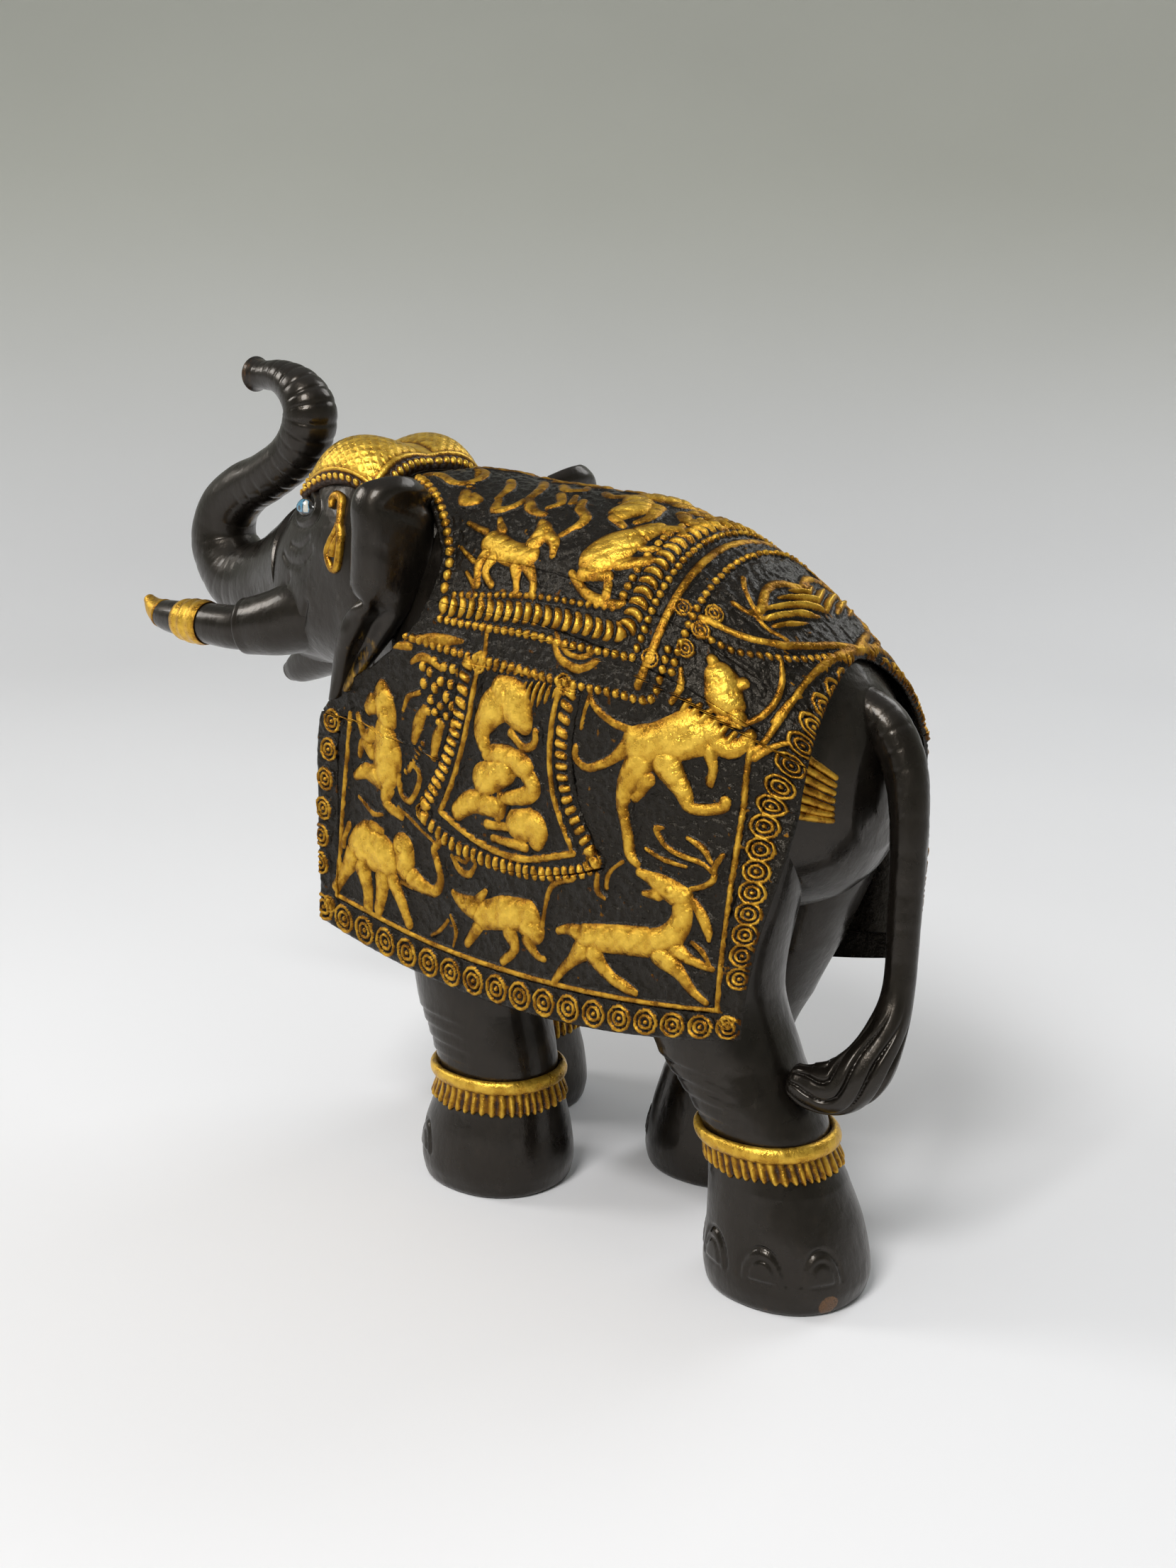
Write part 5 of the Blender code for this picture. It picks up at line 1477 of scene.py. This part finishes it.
def on_skin(rows, marks, lift):
    """Points on a block's skin at marks of (y, degrees from the top), moved out along the skin's
    normal."""
    y, angle = marks[:, 0:1], np.radians(marks[:, 1:2])

    def at(y, a):
        return section(rows, y, a)[:, 0]

    place = at(y, angle)
    normal = unit(np.cross(at(y, angle + 0.01) - at(y, angle - 0.01),
                           at(y + 0.0006, angle) - at(y - 0.0006, angle)))
    normal *= np.sign((normal * (place - np.array([0, 0, 0.28]))).sum(1, keepdims=True))
    return place + normal * lift


SCROLL = [
    (-0.1700, 60.5, 1.2), (-0.1712, 56.5, 1.6), (-0.1690, 53.5, 1.9), (-0.1640, 55.0, 1.9),
    (-0.1620, 61, 1.7), (-0.1608, 67, 1.7), (-0.1587, 72, 1.9), (-0.1585, 78, 1.9),
    (-0.1600, 83.7, 1.8), (-0.1648, 85.2, 1.7), (-0.1688, 81.3, 1.6), (-0.1672, 76.7, 1.4),
    (-0.1640, 72, 1.3), (-0.1628, 67.3, 1.0)
]
SCROLL_HEART = [(-0.1650, 81.5, 1.7), (-0.1638, 77.5, 1.6), (-0.1615, 73.0, 1.0)]


def scroll_drop(side, word):
    """The drop in front of the ear: a hook that runs down into a long loop, with a bead of gold
    inside it."""
    parts = []
    for marks in (SCROLL, SCROLL_HEART):
        fine = bent(marks, 8) * np.array([1, 1, 1.4])
        place = on_skin(HEAD, fine[:, :2], 0.0014)
        rings = tube(np.column_stack([place, fine[:, 2] / 1000]), 20, len(fine) * 2)
        parts.append(on_side(round_end(rings, 4, 0.0012), side))
    piece = joined(word + "_scroll_drop", parts, GOLD, 0.55)
    stand_for(piece, word + "_cheek_drop")


def rump_fan(side, word):
    """A fan of seven gold rays on the rump, just behind the rosettes."""
    parts = []
    for k in range(7):
        degrees = 68 + 4.4 * k
        marks = [(0.1400 - 0.0003 * k, degrees), (0.1450, degrees + 1.8), (0.1496, degrees + 4.2)]
        place = on_skin(BODY, bent(marks, 5), 0.0012)
        radius = np.linspace(2.2, 1.5, len(place)) / 1000
        rings = tube(np.column_stack([place, radius]), 16, 24)
        parts.append(on_side(round_end(rings, 4, 0.0013), side))
    piece = joined(word + "_rump_fan", parts, GOLD, 0.55)
    stand_for(piece, word + "_crupper")


def tusk_sheath(side, word):
    """The fold of skin that the tusk comes out of: a tapering sleeve with a rounded lip."""
    path = [(.026, -.188, .301, .020), (.037, -.205, .2960, .0215), (.0450, -.222, .2900, .0195),
            (.0500, -.238, .2868, .0172), (.0520, -.2435, .2862, .0166)]
    rings = tube(path, 96, 110)
    t = np.linspace(0, np.pi, 14)[1:]
    rings = on_side(run_on(rings, 1 - 0.075 * (1 - np.cos(t)), 0.0017 * np.sin(t)), side)
    piece = closed_loft(word + "_tusk_sheath", rings, SKIN)
    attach(piece, "root")


body()
head()
trunk()
lower_lip()
tail()
headdress()
for leg_name, leg_rows in LEGS.items():
    leg(leg_name, leg_rows)
    anklet(leg_name, leg_rows)
for side, word in ((1, "left"), (-1, "right")):
    ear(side, word)
    tusk(side, word)
    eye(side, word)
    tusk_sheath(side, word)
    scroll_drop(side, word)
    rump_fan(side, word)
for node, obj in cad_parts.items():
    if node.endswith(("peg", "pin")):
        for slot in obj.material_slots:
            slot.material = WOOD


# ---------------------------------------------------------------- floor, light and camera

def floor():
    """A floor that turns up into a backdrop all round: a disc out to 1.7 m, then a height of a
    quarter of the distance beyond it, squared; the radii crowd towards the middle."""
    share = np.linspace(0, 1, 70)[1:, None]
    turn = full_turn(120)[None, :]
    radius = 7.0 * share ** 1.6
    height = 0.25 * np.maximum(radius - 1.7, 0) ** 2
    grid = np.stack(np.broadcast_arrays(radius * np.cos(turn), radius * np.sin(turn), height), -1)
    points = np.concatenate([grid.reshape(-1, 3), [[0, 0, 0]]])
    faces = quads(69, 120, wrap_columns=True, flip=True)
    j = np.arange(120)
    faces += np.stack([np.full(120, 69 * 120), j, (j + 1) % 120], -1).tolist()
    make_object("studio_floor", points, faces, floor_paper("pale_floor_paper"))


LAMPS = [                     # name, place, aim, watts, width, colour
    ("window", (1.7, 0.5, 2.0), (0, 0, 0.15), 44, 0.8, (1.0, 0.985, 0.96)),
    ("front_panel", (1.2, -2.2, 1.7), (0, 0, 0.25), 22, 0.8, (1.0, 0.98, 0.95)),
    ("back_panel", (-2.0, 0.4, 1.9), (0, 0, 0.25), 15, 1.1, (0.97, 0.985, 1.0)),
]


def lamp(name, place, aim, energy, size, colour):
    """A square panel of light, turned towards its aim."""
    data = bpy.data.lights.new(name, "AREA")
    data.energy, data.color = energy, colour
    data.shape, data.size, data.size_y = "RECTANGLE", size, size
    obj = bpy.data.objects.new(name, data)
    obj.location = place
    obj.rotation_euler = (Vector(aim) - Vector(place)).to_track_quat("-Z", "Y").to_euler()
    bpy.context.scene.collection.objects.link(obj)


def light_the_scene():
    """A grey world that brightens towards the top, and three panels of light."""
    world = bpy.data.worlds.new("studio")
    bpy.context.scene.world = world
    world.use_nodes = True
    tree = world.node_tree
    background = tree.nodes["Background"]
    place = tree.nodes.new("ShaderNodeTexCoord")
    split = tree.nodes.new("ShaderNodeSeparateXYZ")
    ramp = tree.nodes.new("ShaderNodeValToRGB")
    tree.links.new(place.outputs["Generated"], split.inputs[0])
    tree.links.new(split.outputs["Z"], ramp.inputs["Fac"])
    tree.links.new(ramp.outputs["Color"], background.inputs["Color"])
    stops = ramp.color_ramp.elements
    stops[0].position, stops[0].color = 0.50, (0.30, 0.31, 0.30, 1)
    stops[1].position, stops[1].color = 0.95, (1.0, 1.0, 0.98, 1)
    background.inputs["Strength"].default_value = 0.44
    for settings in LAMPS:
        lamp(*settings)


def aim_camera():
    """The camera, from its right and up directions and its place."""
    data = bpy.data.cameras.new("camera")
    data.lens, data.sensor_width, data.sensor_fit = 42.72, 36.0, "AUTO"
    data.clip_start = 0.05
    obj = bpy.data.objects.new("camera", data)
    right, up = Vector((-0.63713, 0.77064, 0.01344)), Vector((-0.16809, -0.15595, 0.97336))
    turned = Matrix((right, up, right.cross(up))).transposed().to_4x4()
    obj.matrix_world = Matrix.Translation((0.7592, 0.5968 + SHIFT_Y, 0.4479)) @ turned
    bpy.context.scene.collection.objects.link(obj)
    bpy.context.scene.camera = obj


floor()
light_the_scene()
aim_camera()
bpy.context.scene.view_settings.view_transform = "Standard"
